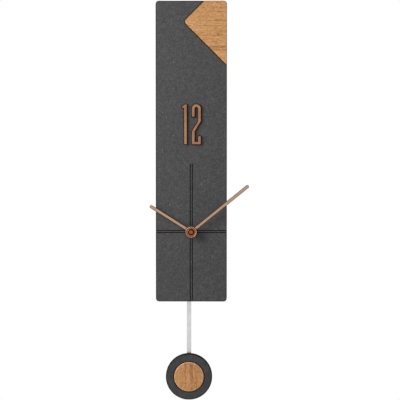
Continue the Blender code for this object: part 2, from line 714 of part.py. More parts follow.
def add_hanger():
    """Keyhole plate with its two countersunk screws, and the wall pads."""
    half = HANGER_WIDTH / 2
    outline = rounded_rectangle(-half, HANGER_RISE - HANGER_HEIGHT, half, HANGER_RISE,
                                HANGER_CORNER_RADIUS)
    slot_z = -KEYHOLE_SLOT_DROP
    head_z = slot_z - KEYHOLE_LENGTH
    drop = math.sqrt(KEYHOLE_HEAD_RADIUS ** 2 - KEYHOLE_SLOT_RADIUS ** 2)
    lean = math.degrees(math.atan2(drop, KEYHOLE_SLOT_RADIUS))
    keyhole = (arc((0.0, slot_z), KEYHOLE_SLOT_RADIUS, 0, 180, 8)
               + arc((0.0, head_z), KEYHOLE_HEAD_RADIUS, 180 - lean, 360 + lean, 18))
    hanger = place("hanger_plate", plate([outline, keyhole], -HANGER_THICKNESS, 0.0), "steel")
    reach = HANGER_THICKNESS
    for side, name in ((-1, "hanger_screw_left"), (1, "hanger_screw_right")):
        centre = (side * HANGER_SCREW_SPACING / 2, -HANGER_SCREW_DROP)
        head = HANGER_SCREW_RADIUS + reach - GAP
        sink = turned([(0.0, -reach - OVERCUT), (HANGER_SCREW_RADIUS + GAP, -reach - OVERCUT),
                       (HANGER_SCREW_RADIUS + GAP, -reach), (head + 2 * GAP, 0.0),
                       (head + 2 * GAP, OVERCUT), (0.0, OVERCUT)], centre, 16)
        cut(hanger, cutter(f"{name}_sink", sink))
        screw = turned([(0.0, -HANGER_SCREW_LENGTH),
                        (HANGER_SCREW_RADIUS, -HANGER_SCREW_LENGTH + HANGER_SCREW_RADIUS),
                        (HANGER_SCREW_RADIUS, -reach), (head, -GAP), (0.0, -GAP)], centre, 16)
        place(name, screw, "steel", smooth=True)
    for name, side in (("wall_pad_left", -1), ("wall_pad_right", 1)):
        centre = (side * (RAIL_INNER + RAIL_WIDTH / 2), RAIL_BOTTOM + PAD_INSET)
        pad = turned([(0.0, RAIL_BACK + GAP), (PAD_RADIUS, RAIL_BACK + GAP),
                      (PAD_RADIUS, -PAD_CHAMFER), (PAD_RADIUS - PAD_CHAMFER, 0.0), (0.0, 0.0)],
                     centre, 20)
        place(name, pad, "rubber", smooth=True)


# Movement housing

def case_outline():
    """Outline of the movement case and its cover."""
    half = MOVEMENT_WIDTH / 2
    return rounded_rectangle(-half, CASE_BOTTOM, half, CASE_TOP, MOVEMENT_CORNER)


def bay_limits():
    """Lower and upper z of the battery bay."""
    middle = AXIS_Z - CELL_BELOW_AXIS
    half = CELL_DIAMETER / 2 + GAP
    return middle - half, middle + half


def add_movement_case():
    """Case, open at the rear, with rooms for the wheels, the cell and the pendulum drive."""
    case = place("movement_case", plate([case_outline()], CASE_FRONT, CASE_BACK), "black_plastic")
    over = OVERCUT
    bay_low, bay_high = bay_limits()
    rooms = {
        "wheel_room": (-INNER_HALF, bay_high + CASE_WEB, INNER_HALF, CASE_TOP - CASE_WALL),
        "battery_room": (-INNER_HALF, bay_low, INNER_HALF, bay_high),
        "drive_room": (-INNER_HALF, CASE_BOTTOM + CASE_WALL, INNER_HALF, bay_low - CASE_WALL),
    }
    for name, limits in rooms.items():
        room = plate([rectangle(*limits)], CASE_INSIDE, CASE_BACK + over)
        cut(case, cutter(name, room))
    hole = turned(rod_profile(BUSH_RADIUS + GAP, CASE_FRONT - over, CASE_INSIDE + over), CENTRE)
    cut(case, cutter("case_bush_hole", hole))
    swing = (PIVOT_Z - CASE_BOTTOM) * math.tan(ARM_SWING) + ARM_WIDTH / 2 + ARM_SLOT_MARGIN
    slot = block((PENDULUM_X - swing, ARM_FRONT_Y - ARM_SLOT_AHEAD, CASE_BOTTOM - over),
                 (PENDULUM_X + swing, CASE_BACK + over, CASE_BOTTOM + CASE_WALL + over))
    cut(case, cutter("arm_slot", slot))


def add_movement_cover():
    """Rear cover with the battery window and the hole for the setting arbor."""
    bay_low, bay_high = bay_limits()
    window = rounded_rectangle(-INNER_HALF, bay_low, INNER_HALF, bay_high,
                               WINDOW_CORNER_RADIUS, 3)
    knob_hole = circle(work_centre(), WORK_ARBOR_RADIUS + RUN, 16)
    cover = plate([case_outline(), window, knob_hole], COVER_FRONT, COVER_BACK)
    place("movement_cover", cover, "black_plastic")


def add_bush_stack():
    """Bush through the board, with its rubber and brass washers and its nut."""
    bush = turned([(BUSH_BORE, BUSH_FRONT), (BUSH_RADIUS - BUSH_CHAMFER, BUSH_FRONT),
                   (BUSH_RADIUS, BUSH_FRONT + BUSH_CHAMFER), (BUSH_RADIUS, FLANGE_FRONT),
                   (BUSH_FLANGE_RADIUS, FLANGE_FRONT), (BUSH_FLANGE_RADIUS, FLANGE_BACK),
                   (BUSH_BORE, FLANGE_BACK)], CENTRE)
    place("threaded_bush", bush, "brass", smooth=True)
    rubber = turned(tube_profile(BUSH_RADIUS + GAP, RUBBER_RADIUS, RUBBER_FRONT,
                                 RUBBER_FRONT + RUBBER_THICKNESS), CENTRE)
    place("rubber_washer", rubber, "rubber", smooth=True)
    washer_back = PANEL_FRONT - GAP
    washer_front = washer_back - BRASS_WASHER_THICKNESS
    washer = turned(tube_profile(BUSH_RADIUS + GAP, BRASS_WASHER_RADIUS, washer_front,
                                 washer_back), CENTRE)
    place("brass_washer", washer, "brass", smooth=True)
    nut_back = washer_front - GAP
    corner = NUT_ACROSS_FLATS / math.sqrt(3)
    nut = plate([circle(CENTRE, corner, 6), circle(CENTRE, BUSH_RADIUS + GAP, 24)],
                nut_back - NUT_THICKNESS, nut_back)
    place("fixing_nut", nut, "brass")


# Wheel work

def work_centre():
    """Axis of the minute work wheel."""
    return polar(CENTRE, WORK_CENTRES, WORK_ANGLE)


def third_centre():
    """Axis of the third wheel."""
    return polar(CENTRE, TRAIN_CENTRES, THIRD_ANGLE)


def step_centre():
    """Axis of the intermediate wheel."""
    return polar(CENTRE, STEP_CENTRES, STEP_ANGLE)


def rotor_centre():
    """Axis of the rotor."""
    return polar(step_centre(), ROTOR_CENTRES, ROTOR_ANGLE)


def add_motion_work():
    """Hour wheel with its pipe, and the minute work wheel on the setting arbor."""
    back_way = WORK_ANGLE + math.pi
    cannon_phase = 0.0
    work_phase = meshing_phase(cannon_phase, CANNON_TEETH, WORK_WHEEL_TEETH, WORK_ANGLE)
    hour_phase = meshing_phase(work_phase, WORK_PINION_TEETH, HOUR_TEETH, back_way)
    bore = MINUTE_PIPE_RADIUS + RUN
    add_wheel("hour_wheel", "white_plastic", CENTRE,
              [(gear_outline(HOUR_TEETH, HOUR_MODULE, CENTRE, hour_phase),
                HOUR_WHEEL_FRONT, HOUR_WHEEL_BACK),
               (circle(CENTRE, HOUR_PIPE_RADIUS), HOUR_BLADE_FRONT,
                HOUR_WHEEL_BACK - WHEEL_THICKNESS / 3)], bore)
    add_wheel("minute_work_wheel", "white_plastic", work_centre(),
              [(gear_outline(WORK_WHEEL_TEETH, HOUR_MODULE, work_centre(), work_phase),
                WORK_FRONT, WORK_BACK),
               (gear_outline(WORK_PINION_TEETH, HOUR_MODULE, work_centre(), work_phase),
                HOUR_WHEEL_FRONT, WORK_BACK - WHEEL_THICKNESS / 3),
               (circle(work_centre(), WORK_ARBOR_RADIUS, 16), WORK_BACK - WHEEL_THICKNESS / 2,
                SOCKET_END - GAP)])


def add_setting_knob():
    """Knurled knob on the end of the setting arbor."""
    scallops = []
    for tooth in range(KNOB_TEETH):
        for offset, radius in ((0.0, KNOB_RADIUS), (0.5, KNOB_RADIUS - KNOB_SCALLOP)):
            angle = 2 * math.pi * (tooth + offset) / KNOB_TEETH
            scallops.append(polar(work_centre(), radius, angle))
    knob = place("setting_knob", plate([scallops], KNOB_FRONT, KNOB_BACK), "white_plastic",
                 axis_point(work_centre()))
    socket = turned(rod_profile(WORK_ARBOR_RADIUS + GAP, KNOB_FRONT - OVERCUT, SOCKET_END),
                    work_centre(), 16)
    cut(knob, cutter("knob_socket", socket))


def add_going_train():
    """Centre, third, seconds and step wheels and the rotor pinion, in mesh at rest."""
    cannon_phase = 0.0
    centre_phase = 0.0
    third_phase = meshing_phase(centre_phase, CENTRE_TEETH, THIRD_PINION_TEETH, THIRD_ANGLE)
    seconds_phase = meshing_phase(third_phase, THIRD_TEETH, SECONDS_PINION_TEETH,
                                  THIRD_ANGLE + math.pi)
    step_phase = meshing_phase(seconds_phase, SECONDS_TEETH, STEP_PINION_TEETH, STEP_ANGLE)
    rotor_phase = meshing_phase(step_phase, STEP_TEETH, ROTOR_PINION_TEETH, ROTOR_ANGLE)
    overlap = WHEEL_THICKNESS / 3
    add_wheel("centre_wheel", "brass", CENTRE,
              [(gear_outline(CENTRE_TEETH, CENTRE_MODULE, CENTRE, centre_phase),
                CENTRE_FRONT, CENTRE_BACK),
               (circle(CENTRE, MINUTE_PIPE_RADIUS), HAND_NUT_FRONT, CENTRE_FRONT + overlap),
               (gear_outline(CANNON_TEETH, HOUR_MODULE, CENTRE, cannon_phase),
                WORK_FRONT, WORK_BACK)],
              SECONDS_ARBOR_RADIUS + RUN)
    centre = third_centre()
    add_wheel("third_wheel", "brass", centre,
              [(gear_outline(THIRD_TEETH, THIRD_MODULE, centre, third_phase),
                THIRD_FRONT, THIRD_BACK),
               (gear_outline(THIRD_PINION_TEETH, CENTRE_MODULE, centre, third_phase),
                CENTRE_FRONT, THIRD_FRONT + overlap),
               (circle(centre, ARBOR_RADIUS, 12), PLATE_FRONT, CENTRE_FRONT + overlap),
               (circle(centre, ARBOR_RADIUS, 12), THIRD_BACK - overlap, ARBOR_END)])
    add_wheel("seconds_wheel", "white_plastic", CENTRE,
              [(gear_outline(SECONDS_TEETH, SECONDS_MODULE, CENTRE, seconds_phase),
                SECONDS_FRONT, SECONDS_BACK),
               (gear_outline(SECONDS_PINION_TEETH, THIRD_MODULE, CENTRE, seconds_phase),
                THIRD_FRONT, SECONDS_FRONT + overlap),
               (circle(CENTRE, SECONDS_ARBOR_RADIUS, 12), HAND_NUT_FRONT + GAP,
                THIRD_FRONT + overlap),
               (circle(CENTRE, REAR_ARBOR_RADIUS, 12), SECONDS_BACK - overlap,
                ARBOR_END)])
    centre = step_centre()
    add_wheel("intermediate_wheel", "white_plastic", centre,
              [(gear_outline(STEP_TEETH, ROTOR_MODULE, centre, step_phase),
                STEP_FRONT, STEP_BACK),
               (gear_outline(STEP_PINION_TEETH, SECONDS_MODULE, centre, step_phase),
                SECONDS_FRONT, STEP_FRONT + overlap),
               (circle(centre, ARBOR_RADIUS, 12), STEP_BACK - overlap, ARBOR_END)])
    centre = rotor_centre()
    add_wheel("rotor_pinion", "white_plastic", centre,
              [(gear_outline(ROTOR_PINION_TEETH, ROTOR_MODULE, centre, rotor_phase),
                STEP_FRONT, STEP_BACK),
               (circle(centre, ARBOR_RADIUS, 12), STEP_BACK - overlap, ARBOR_END)])
    magnet = turned(tube_profile(ARBOR_RADIUS + GAP, ROTOR_RADIUS, ROTOR_FRONT, ROTOR_BACK),
                    centre, 20)
    place("rotor_magnet", magnet, "magnet", axis_point(centre), smooth=True)


def add_train_plate():
    """Plate between the motion work and the train, slotted for the minute pipe."""
    half = INNER_HALF - GAP
    slot_half = MINUTE_PIPE_RADIUS + RUN
    bottom = bay_limits()[1] + CASE_WEB + GAP
    top = CASE_TOP - CASE_WALL - GAP
    outline = ([(-half, top), (-half, bottom), (-slot_half, bottom)]
               + arc(CENTRE, slot_half, 180, 0, 8)
               + [(slot_half, bottom), (half, bottom), (half, top)])
    holes = [circle(third_centre(), ARBOR_RADIUS + RUN, 12),
             circle(work_centre(), WORK_ARBOR_RADIUS + RUN, 16)]
    place("train_plate", plate([outline] + holes, PLATE_FRONT, PLATE_BACK), "white_plastic")


def add_motor():
    """Stator yoke round the rotor, with the coil on its upper bar."""
    cx, cz = rotor_centre()
    ring = ROTOR_RADIUS + STATOR_RING
    bore = ROTOR_RADIUS + STATOR_AIR
    sheet = STATOR_THICKNESS
    front = (ROTOR_FRONT + ROTOR_BACK - sheet) / 2
    half = STATOR_HALF_WIDTH
    foot = cz - STATOR_FOOT_DROP
    lean = math.degrees(math.asin(STATOR_FOOT_DROP / ring))
    bar_top = CASE_TOP - CASE_WALL - STATOR_TOP_GAP
    bar_low = bar_top - STATOR_BAR
    window_low = cz + ring
    outline = ([(cx - half, foot)] + arc((cx, cz), ring, 180 + lean, 360 - lean, 12)
               + [(cx + half, foot), (cx + half, bar_top), (cx - half, bar_top)])
    window = rectangle(cx - half + STATOR_POST, window_low, cx + half - STATOR_POST, bar_low)
    yoke = plate([outline, circle((cx, cz), bore, 24), window], front, front + sheet)
    place("stator_plate", yoke, "steel")
    coil_half = half - STATOR_POST - GAP
    middle = (bar_top + bar_low) / 2
    inner = math.hypot((bar_top - bar_low) / 2, sheet / 2) + GAP
    coil = turned(tube_profile(inner, inner + COIL_BUILD, -coil_half, coil_half), (0.0, 0.0), 20)
    bmesh.ops.rotate(coil, verts=coil.verts, cent=(0.0, 0.0, 0.0),
                     matrix=Matrix.Rotation(math.pi / 2, 3, "Z"))
    bmesh.ops.translate(coil, verts=coil.verts, vec=(cx, front + sheet / 2, middle))
    place("motor_coil", coil, "winding", smooth=True)


def add_electronics():
    """Circuit board with its timing chip and quartz crystal."""
    right = INNER_HALF - GAP
    low = AXIS_Z - BOARD_DROP
    high = CASE_TOP - CASE_WALL - GAP
    front = COVER_FRONT - BOARD_AHEAD
    place("circuit_board", plate([rectangle(BOARD_LEFT, low, right, high)], front,
                                 front + BOARD_THICKNESS), "board_green")
    chip_back = front - GAP
    chip_left = BOARD_LEFT + CHIP_INSET
    chip_top = high - CHIP_DROP
    place("timing_chip", block((chip_left, chip_back - CHIP_THICKNESS, chip_top - CHIP_HEIGHT),
                               (chip_left + CHIP_WIDTH, chip_back, chip_top), CHIP_CHAMFER),
          "black_plastic")
    crystal = turned(rod_profile(CRYSTAL_RADIUS, 0.0, CRYSTAL_LENGTH), (0.0, 0.0), 16)
    bmesh.ops.rotate(crystal, verts=crystal.verts, cent=(0.0, 0.0, 0.0),
                     matrix=Matrix.Rotation(math.pi / 2, 3, "X"))
    bmesh.ops.translate(crystal, verts=crystal.verts,
                        vec=(BOARD_LEFT + CRYSTAL_INSET, chip_back - CRYSTAL_RADIUS, AXIS_Z))
    place("quartz_crystal", crystal, "steel", smooth=True)


def add_battery():
    """Cell lying along x in its bay, between its two contacts."""
    middle = AXIS_Z - CELL_BELOW_AXIS
    radius = CELL_DIAMETER / 2
    half = (CELL_LENGTH + CELL_NUB) / 2
    y = CASE_INSIDE + GAP + radius
    edge = CELL_CHAMFER
    profile = [(0.0, -half), (radius - edge, -half), (radius, -half + edge),
               (radius, half - CELL_NUB - edge), (radius - edge, half - CELL_NUB),
               (CELL_NUB_RADIUS, half - CELL_NUB), (CELL_NUB_RADIUS, half), (0.0, half)]
    cell = turned(profile, (0.0, 0.0), 28)
    bmesh.ops.rotate(cell, verts=cell.verts, cent=(0.0, 0.0, 0.0),
                     matrix=Matrix.Rotation(-math.pi / 2, 3, "Z"))
    bmesh.ops.translate(cell, verts=cell.verts, vec=(0.0, y, middle))
    place("battery_cell", cell, "cell_wrap", (0.0, y, middle), smooth=True)
    for name, side in (("contact_negative", -1), ("contact_positive", 1)):
        outer = side * (INNER_HALF - GAP)
        inner = outer - side * CONTACT_THICKNESS
        low_x, high_x = sorted((outer, inner))
        blade = block((low_x, CASE_INSIDE + GAP, middle - CONTACT_HEIGHT / 2),
                      (high_x, CASE_BACK - GAP, middle + CONTACT_HEIGHT / 2), CONTACT_CHAMFER)
        place(name, blade, "steel")


# Hands

def hand_outline(reach, angle):
    """Round boss with a parallel blade that ends in a half circle."""
    half = HAND_WIDTH / 2
    join = math.degrees(math.asin(half / HAND_BOSS_RADIUS))
    points = arc((0.0, 0.0), HAND_BOSS_RADIUS, 90 + join, 450 - join, 30)
    points += arc((0.0, reach - half), half, 0, 180, 8)
    turn = Matrix.Rotation(-angle, 2)
    spun = [turn @ Vector(point) for point in points]
    return [(CENTRE[0] + point.x, CENTRE[1] + point.y) for point in spun]


def add_hands():
    """Hour hand, minute hand, the nut that holds them and the cap over it."""
    origin = axis_point(CENTRE)
    blade = hand_outline(HOUR_REACH, HOUR_ANGLE)
    bore = circle(CENTRE, HOUR_PIPE_RADIUS + GAP, 24)
    hand = plate([blade, bore], HOUR_BLADE_FRONT, HOUR_BLADE_BACK)
    place("hour_hand", hand, "rose_gold", origin)
    blade = hand_outline(MINUTE_REACH, MINUTE_ANGLE)
    bore = circle(CENTRE, MINUTE_PIPE_RADIUS + GAP, 24)
    hand = plate([blade, bore], MINUTE_BLADE_FRONT, MINUTE_BLADE_BACK)
    place("minute_hand", hand, "rose_gold", origin)
    nut = turned(tube_profile(MINUTE_PIPE_RADIUS + GAP, HAND_NUT_RADIUS, HAND_NUT_FRONT,
                              HAND_NUT_BACK), CENTRE, 20)
    place("hand_nut", nut, "brass", origin, smooth=True)
    ring_front = CAP_FRONT + CAP_NUB_RISE
    face = ring_front + CAP_DISH
    recess = HAND_NUT_FRONT - 2 * GAP
    hollow = HAND_NUT_RADIUS + GAP
    cap = turned([(0.0, CAP_FRONT), (CAP_NUB_RADIUS - CAP_NUB_CHAMFER, CAP_FRONT),
                  (CAP_NUB_RADIUS, CAP_FRONT + CAP_NUB_CHAMFER), (CAP_NUB_RADIUS, ring_front),
                  (CAP_RING_RADIUS, ring_front), (CAP_RING_RADIUS + CAP_DISH, face),
                  (CAP_RADIUS - CAP_RIM, face),
                  (CAP_RADIUS - CAP_RIM + CAP_RIM_SLOPE, ring_front),
                  (CAP_RADIUS - CAP_RIM_SLOPE, ring_front),
                  (CAP_RADIUS, ring_front + CAP_RIM_SLOPE), (CAP_RADIUS, CAP_BACK),
                  (hollow, CAP_BACK), (hollow, recess), (0.0, recess)], CENTRE, 40)
    place("hand_cap", cap, "copper", origin, smooth=True)


# Pendulum and its drive

def add_pendulum_drive():
    """Axle, drive coil, and the swinging arm with its magnet and its peg."""
    pivot = (PENDULUM_X, PIVOT_Z)
    axle = turned(rod_profile(AXLE_RADIUS, CASE_INSIDE + GAP, ARBOR_END), pivot, 16)
    place("arm_axle", axle, "steel", smooth=True)
    magnet_centre = (PENDULUM_X, PIVOT_Z - ARM_MAGNET_DROP)
    magnet_back = ARM_FRONT_Y - GAP
    magnet_front = magnet_back - ARM_MAGNET_THICKNESS
    coil_back = magnet_front - 2 * GAP
    coil = turned(tube_profile(DRIVE_COIL_BORE, DRIVE_COIL_RADIUS,
                               max(CASE_INSIDE + GAP, coil_back - DRIVE_COIL_THICKNESS),
                               coil_back), magnet_centre, 28)
    place("drive_coil", coil, "winding", smooth=True)

    magnet = turned(rod_profile(ARM_MAGNET_RADIUS, magnet_front, magnet_back), magnet_centre, 24)
    place("arm_magnet", magnet, "magnet", PENDULUM_ORIGIN, smooth=True)
    half = ARM_WIDTH / 2
    join = math.degrees(math.asin(half / ARM_HUB_RADIUS))
    lower = (PENDULUM_X, PEG_Z)
    outline = arc(pivot, ARM_HUB_RADIUS, -90 + join, 270 - join, 16) + arc(lower, half, 180, 360, 8)
    arm = place("pendulum_arm", plate([outline, circle(pivot, AXLE_RADIUS + RUN, 16)],
                                      ARM_FRONT_Y, ARM_BACK_Y), "white_plastic",
                PENDULUM_ORIGIN)
    inside = ARM_BACK_Y - ARM_THICKNESS / 2
    peg_end = ROD_BACK_Y + GAP
    peg = turned([(0.0, inside), (PEG_RADIUS, inside), (PEG_RADIUS, peg_end),
                  (PEG_HEAD_RADIUS, peg_end), (PEG_HEAD_RADIUS, peg_end + PEG_HEAD_THICKNESS),
                  (0.0, peg_end + PEG_HEAD_THICKNESS)], lower, 16)
    combine(arm, cutter("arm_peg", peg), "UNION")


def add_pendulum_rod():
    """Flat rod that hangs on the arm's peg by its keyhole."""
    half = ROD_WIDTH / 2
    top = PEG_Z + ROD_ABOVE_PEG
    bottom = BOB_Z - BOB_RADIUS - ROD_TAIL
    outline = rounded_rectangle(PENDULUM_X - half, bottom, PENDULUM_X + half, top,
                                ROD_CORNER_RADIUS, 3)
    slot_radius = PEG_RADIUS + GAP
    head_radius = PEG_HEAD_RADIUS + GAP
    head_z = PEG_Z - ROD_KEYHOLE_LENGTH
    lean = math.degrees(math.acos(slot_radius / head_radius))
    keyhole = (arc((PENDULUM_X, PEG_Z), slot_radius, 0, 180, 8)
               + arc((PENDULUM_X, head_z), head_radius, 180 - lean, 360 + lean, 14))
    rod = plate([outline, keyhole], ROD_FRONT_Y, ROD_BACK_Y)
    place("pendulum_rod", rod, "silver", PENDULUM_ORIGIN)


def add_bob():
    """Round bob with its lug and its oak disc.

    Returns the bob, which the clip's screws go into.
    """
    centre = (PENDULUM_X, BOB_Z)
    seat = BOB_FRONT_Y - DISC_PROUD + DISC_THICKNESS + GAP
    well = DISC_RADIUS + DISC_JOINT
    bob = turned([(0.0, seat), (well, seat), (well, BOB_FRONT_Y), (BOB_RADIUS - BOB_EDGE,
                                                                 BOB_FRONT_Y),
                  (BOB_RADIUS - 0.3 * BOB_EDGE, BOB_FRONT_Y + 0.3 * BOB_EDGE),
                  (BOB_RADIUS, BOB_FRONT_Y + BOB_EDGE), (BOB_RADIUS, BOB_BACK_Y),
                  (0.0, BOB_BACK_Y)], centre, 72)
    bob = place("pendulum_bob", bob, "anthracite", PENDULUM_ORIGIN, smooth=True)
    lug = block((PENDULUM_X - BOB_LUG_WIDTH / 2, BOB_BACK_Y - BOB_THICKNESS / 2,
                 BOB_Z + BOB_RADIUS - BOB_LUG_ROOT),
                (PENDULUM_X + BOB_LUG_WIDTH / 2, BOB_BACK_Y - BOB_LUG_BACK,
                 BOB_Z + BOB_RADIUS + BOB_LUG_RISE))
    combine(bob, cutter("bob_lug", lug), "UNION")
    front = BOB_FRONT_Y - DISC_PROUD
    disc = turned([(0.0, front), (DISC_RADIUS - DISC_CHAMFER, front),
                   (DISC_RADIUS, front + DISC_CHAMFER), (DISC_RADIUS, front + DISC_THICKNESS),
                   (0.0, front + DISC_THICKNESS)], centre, 56)
    place("bob_oak_disc", disc, "oak", PENDULUM_ORIGIN, smooth=True)
    return bob


def add_bob_clip(bob):
    """Clip plate that holds the rod behind the bob, and its two screws."""
    clip_front = ROD_BACK_Y + GAP
    clip_back = clip_front + CLIP_THICKNESS
    half_width = CLIP_WIDTH / 2
    half_height = CLIP_HEIGHT / 2
    spots = [(PENDULUM_X + side * (half_width - CLIP_SCREW_INSET), BOB_Z) for side in (-1, 1)]
    clip = plate([rounded_rectangle(PENDULUM_X - half_width, BOB_Z - half_height,
                                    PENDULUM_X + half_width, BOB_Z + half_height,
                                    CLIP_CORNER_RADIUS, 3)]
                 + [circle(spot, BOB_SCREW_RADIUS + GAP, 12) for spot in spots],
                 clip_front, clip_back)
    place("bob_clip", clip, "steel", PENDULUM_ORIGIN)
    for name, spot in zip(("bob_screw_left", "bob_screw_right"), spots):
        tip = clip_front - BOB_SCREW_LENGTH
        pilot = turned(rod_profile(BOB_SCREW_RADIUS + GAP, tip - GAP, BOB_BACK_Y + OVERCUT),
                       spot, 12)
        cut(bob, cutter(f"{name}_pilot", pilot))
        head = clip_back + GAP
        screw = turned([(0.0, tip), (BOB_SCREW_RADIUS, tip + BOB_SCREW_POINT),
                        (BOB_SCREW_RADIUS, head), (BOB_SCREW_HEAD_RADIUS, head),
                        (BOB_SCREW_HEAD_RADIUS, head + BOB_SCREW_HEAD_EDGE),
                        (0.0, head + BOB_SCREW_HEAD_HEIGHT)], spot, 12)
        place(name, screw, "steel", PENDULUM_ORIGIN, smooth=True)


def main():
    """Build every piece of the clock."""
    for old in list(bpy.data.objects):
        bpy.data.objects.remove(old, do_unlink=True)
    add_panel()
    add_oak_corner()
    add_numerals()
    add_rails()
    add_hanger()
    add_movement_case()
    add_movement_cover()
    add_bush_stack()
    add_motion_work()
    add_setting_knob()
    add_going_train()
    add_train_plate()
    add_motor()
    add_electronics()
    add_battery()
    add_hands()
    add_pendulum_drive()
    add_pendulum_rod()
    bob = add_bob()
    add_bob_clip(bob)


main()
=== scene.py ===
"""Finished look of a pendulum wall clock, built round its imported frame.

Everything is in metres: +X to the right, +Y into the wall, +Z up.
"""
import logging
import math
from dataclasses import dataclass, field
from enum import Enum
from typing import Any, Iterable, Optional, Sequence

import bmesh
import bpy
from mathutils import Matrix, Vector


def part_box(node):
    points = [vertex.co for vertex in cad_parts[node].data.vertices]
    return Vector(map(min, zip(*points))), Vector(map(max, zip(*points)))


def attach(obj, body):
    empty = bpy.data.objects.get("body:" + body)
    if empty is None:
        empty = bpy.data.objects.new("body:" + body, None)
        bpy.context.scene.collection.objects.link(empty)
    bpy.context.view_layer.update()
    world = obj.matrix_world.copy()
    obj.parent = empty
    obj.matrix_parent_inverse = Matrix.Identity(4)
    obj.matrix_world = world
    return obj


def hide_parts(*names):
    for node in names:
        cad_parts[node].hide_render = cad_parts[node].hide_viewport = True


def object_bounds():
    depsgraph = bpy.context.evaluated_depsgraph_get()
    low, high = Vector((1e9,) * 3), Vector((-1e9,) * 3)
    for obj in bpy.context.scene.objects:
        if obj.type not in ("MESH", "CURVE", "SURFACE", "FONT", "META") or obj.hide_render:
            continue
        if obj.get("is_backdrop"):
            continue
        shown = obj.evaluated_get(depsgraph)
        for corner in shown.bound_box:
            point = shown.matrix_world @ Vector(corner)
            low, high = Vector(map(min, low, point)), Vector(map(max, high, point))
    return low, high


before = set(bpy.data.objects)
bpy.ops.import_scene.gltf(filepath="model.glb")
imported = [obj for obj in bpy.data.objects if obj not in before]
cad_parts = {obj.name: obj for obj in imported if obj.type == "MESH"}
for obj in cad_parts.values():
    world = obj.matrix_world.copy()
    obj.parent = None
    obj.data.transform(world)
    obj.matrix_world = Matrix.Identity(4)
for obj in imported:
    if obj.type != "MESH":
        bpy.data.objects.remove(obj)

LOG = logging.getLogger("clock")
BODY_CASE = "clock_case"
BODY_CELL = "battery"
BODY_MINUTE = "minute_assembly"
BODY_HOUR = "hour_assembly"
BODY_WORK = "minute_work"
BODY_PENDULUM = "pendulum"

Point = tuple[float, float]
Corner = tuple[float, float, float]
Colour = tuple[float, float, float]


class Axis(Enum):
    """The direction that grain or brush marks run in."""

    X = 0
    Y = 1
    Z = 2


# ---------------------------------------------------------------- materials

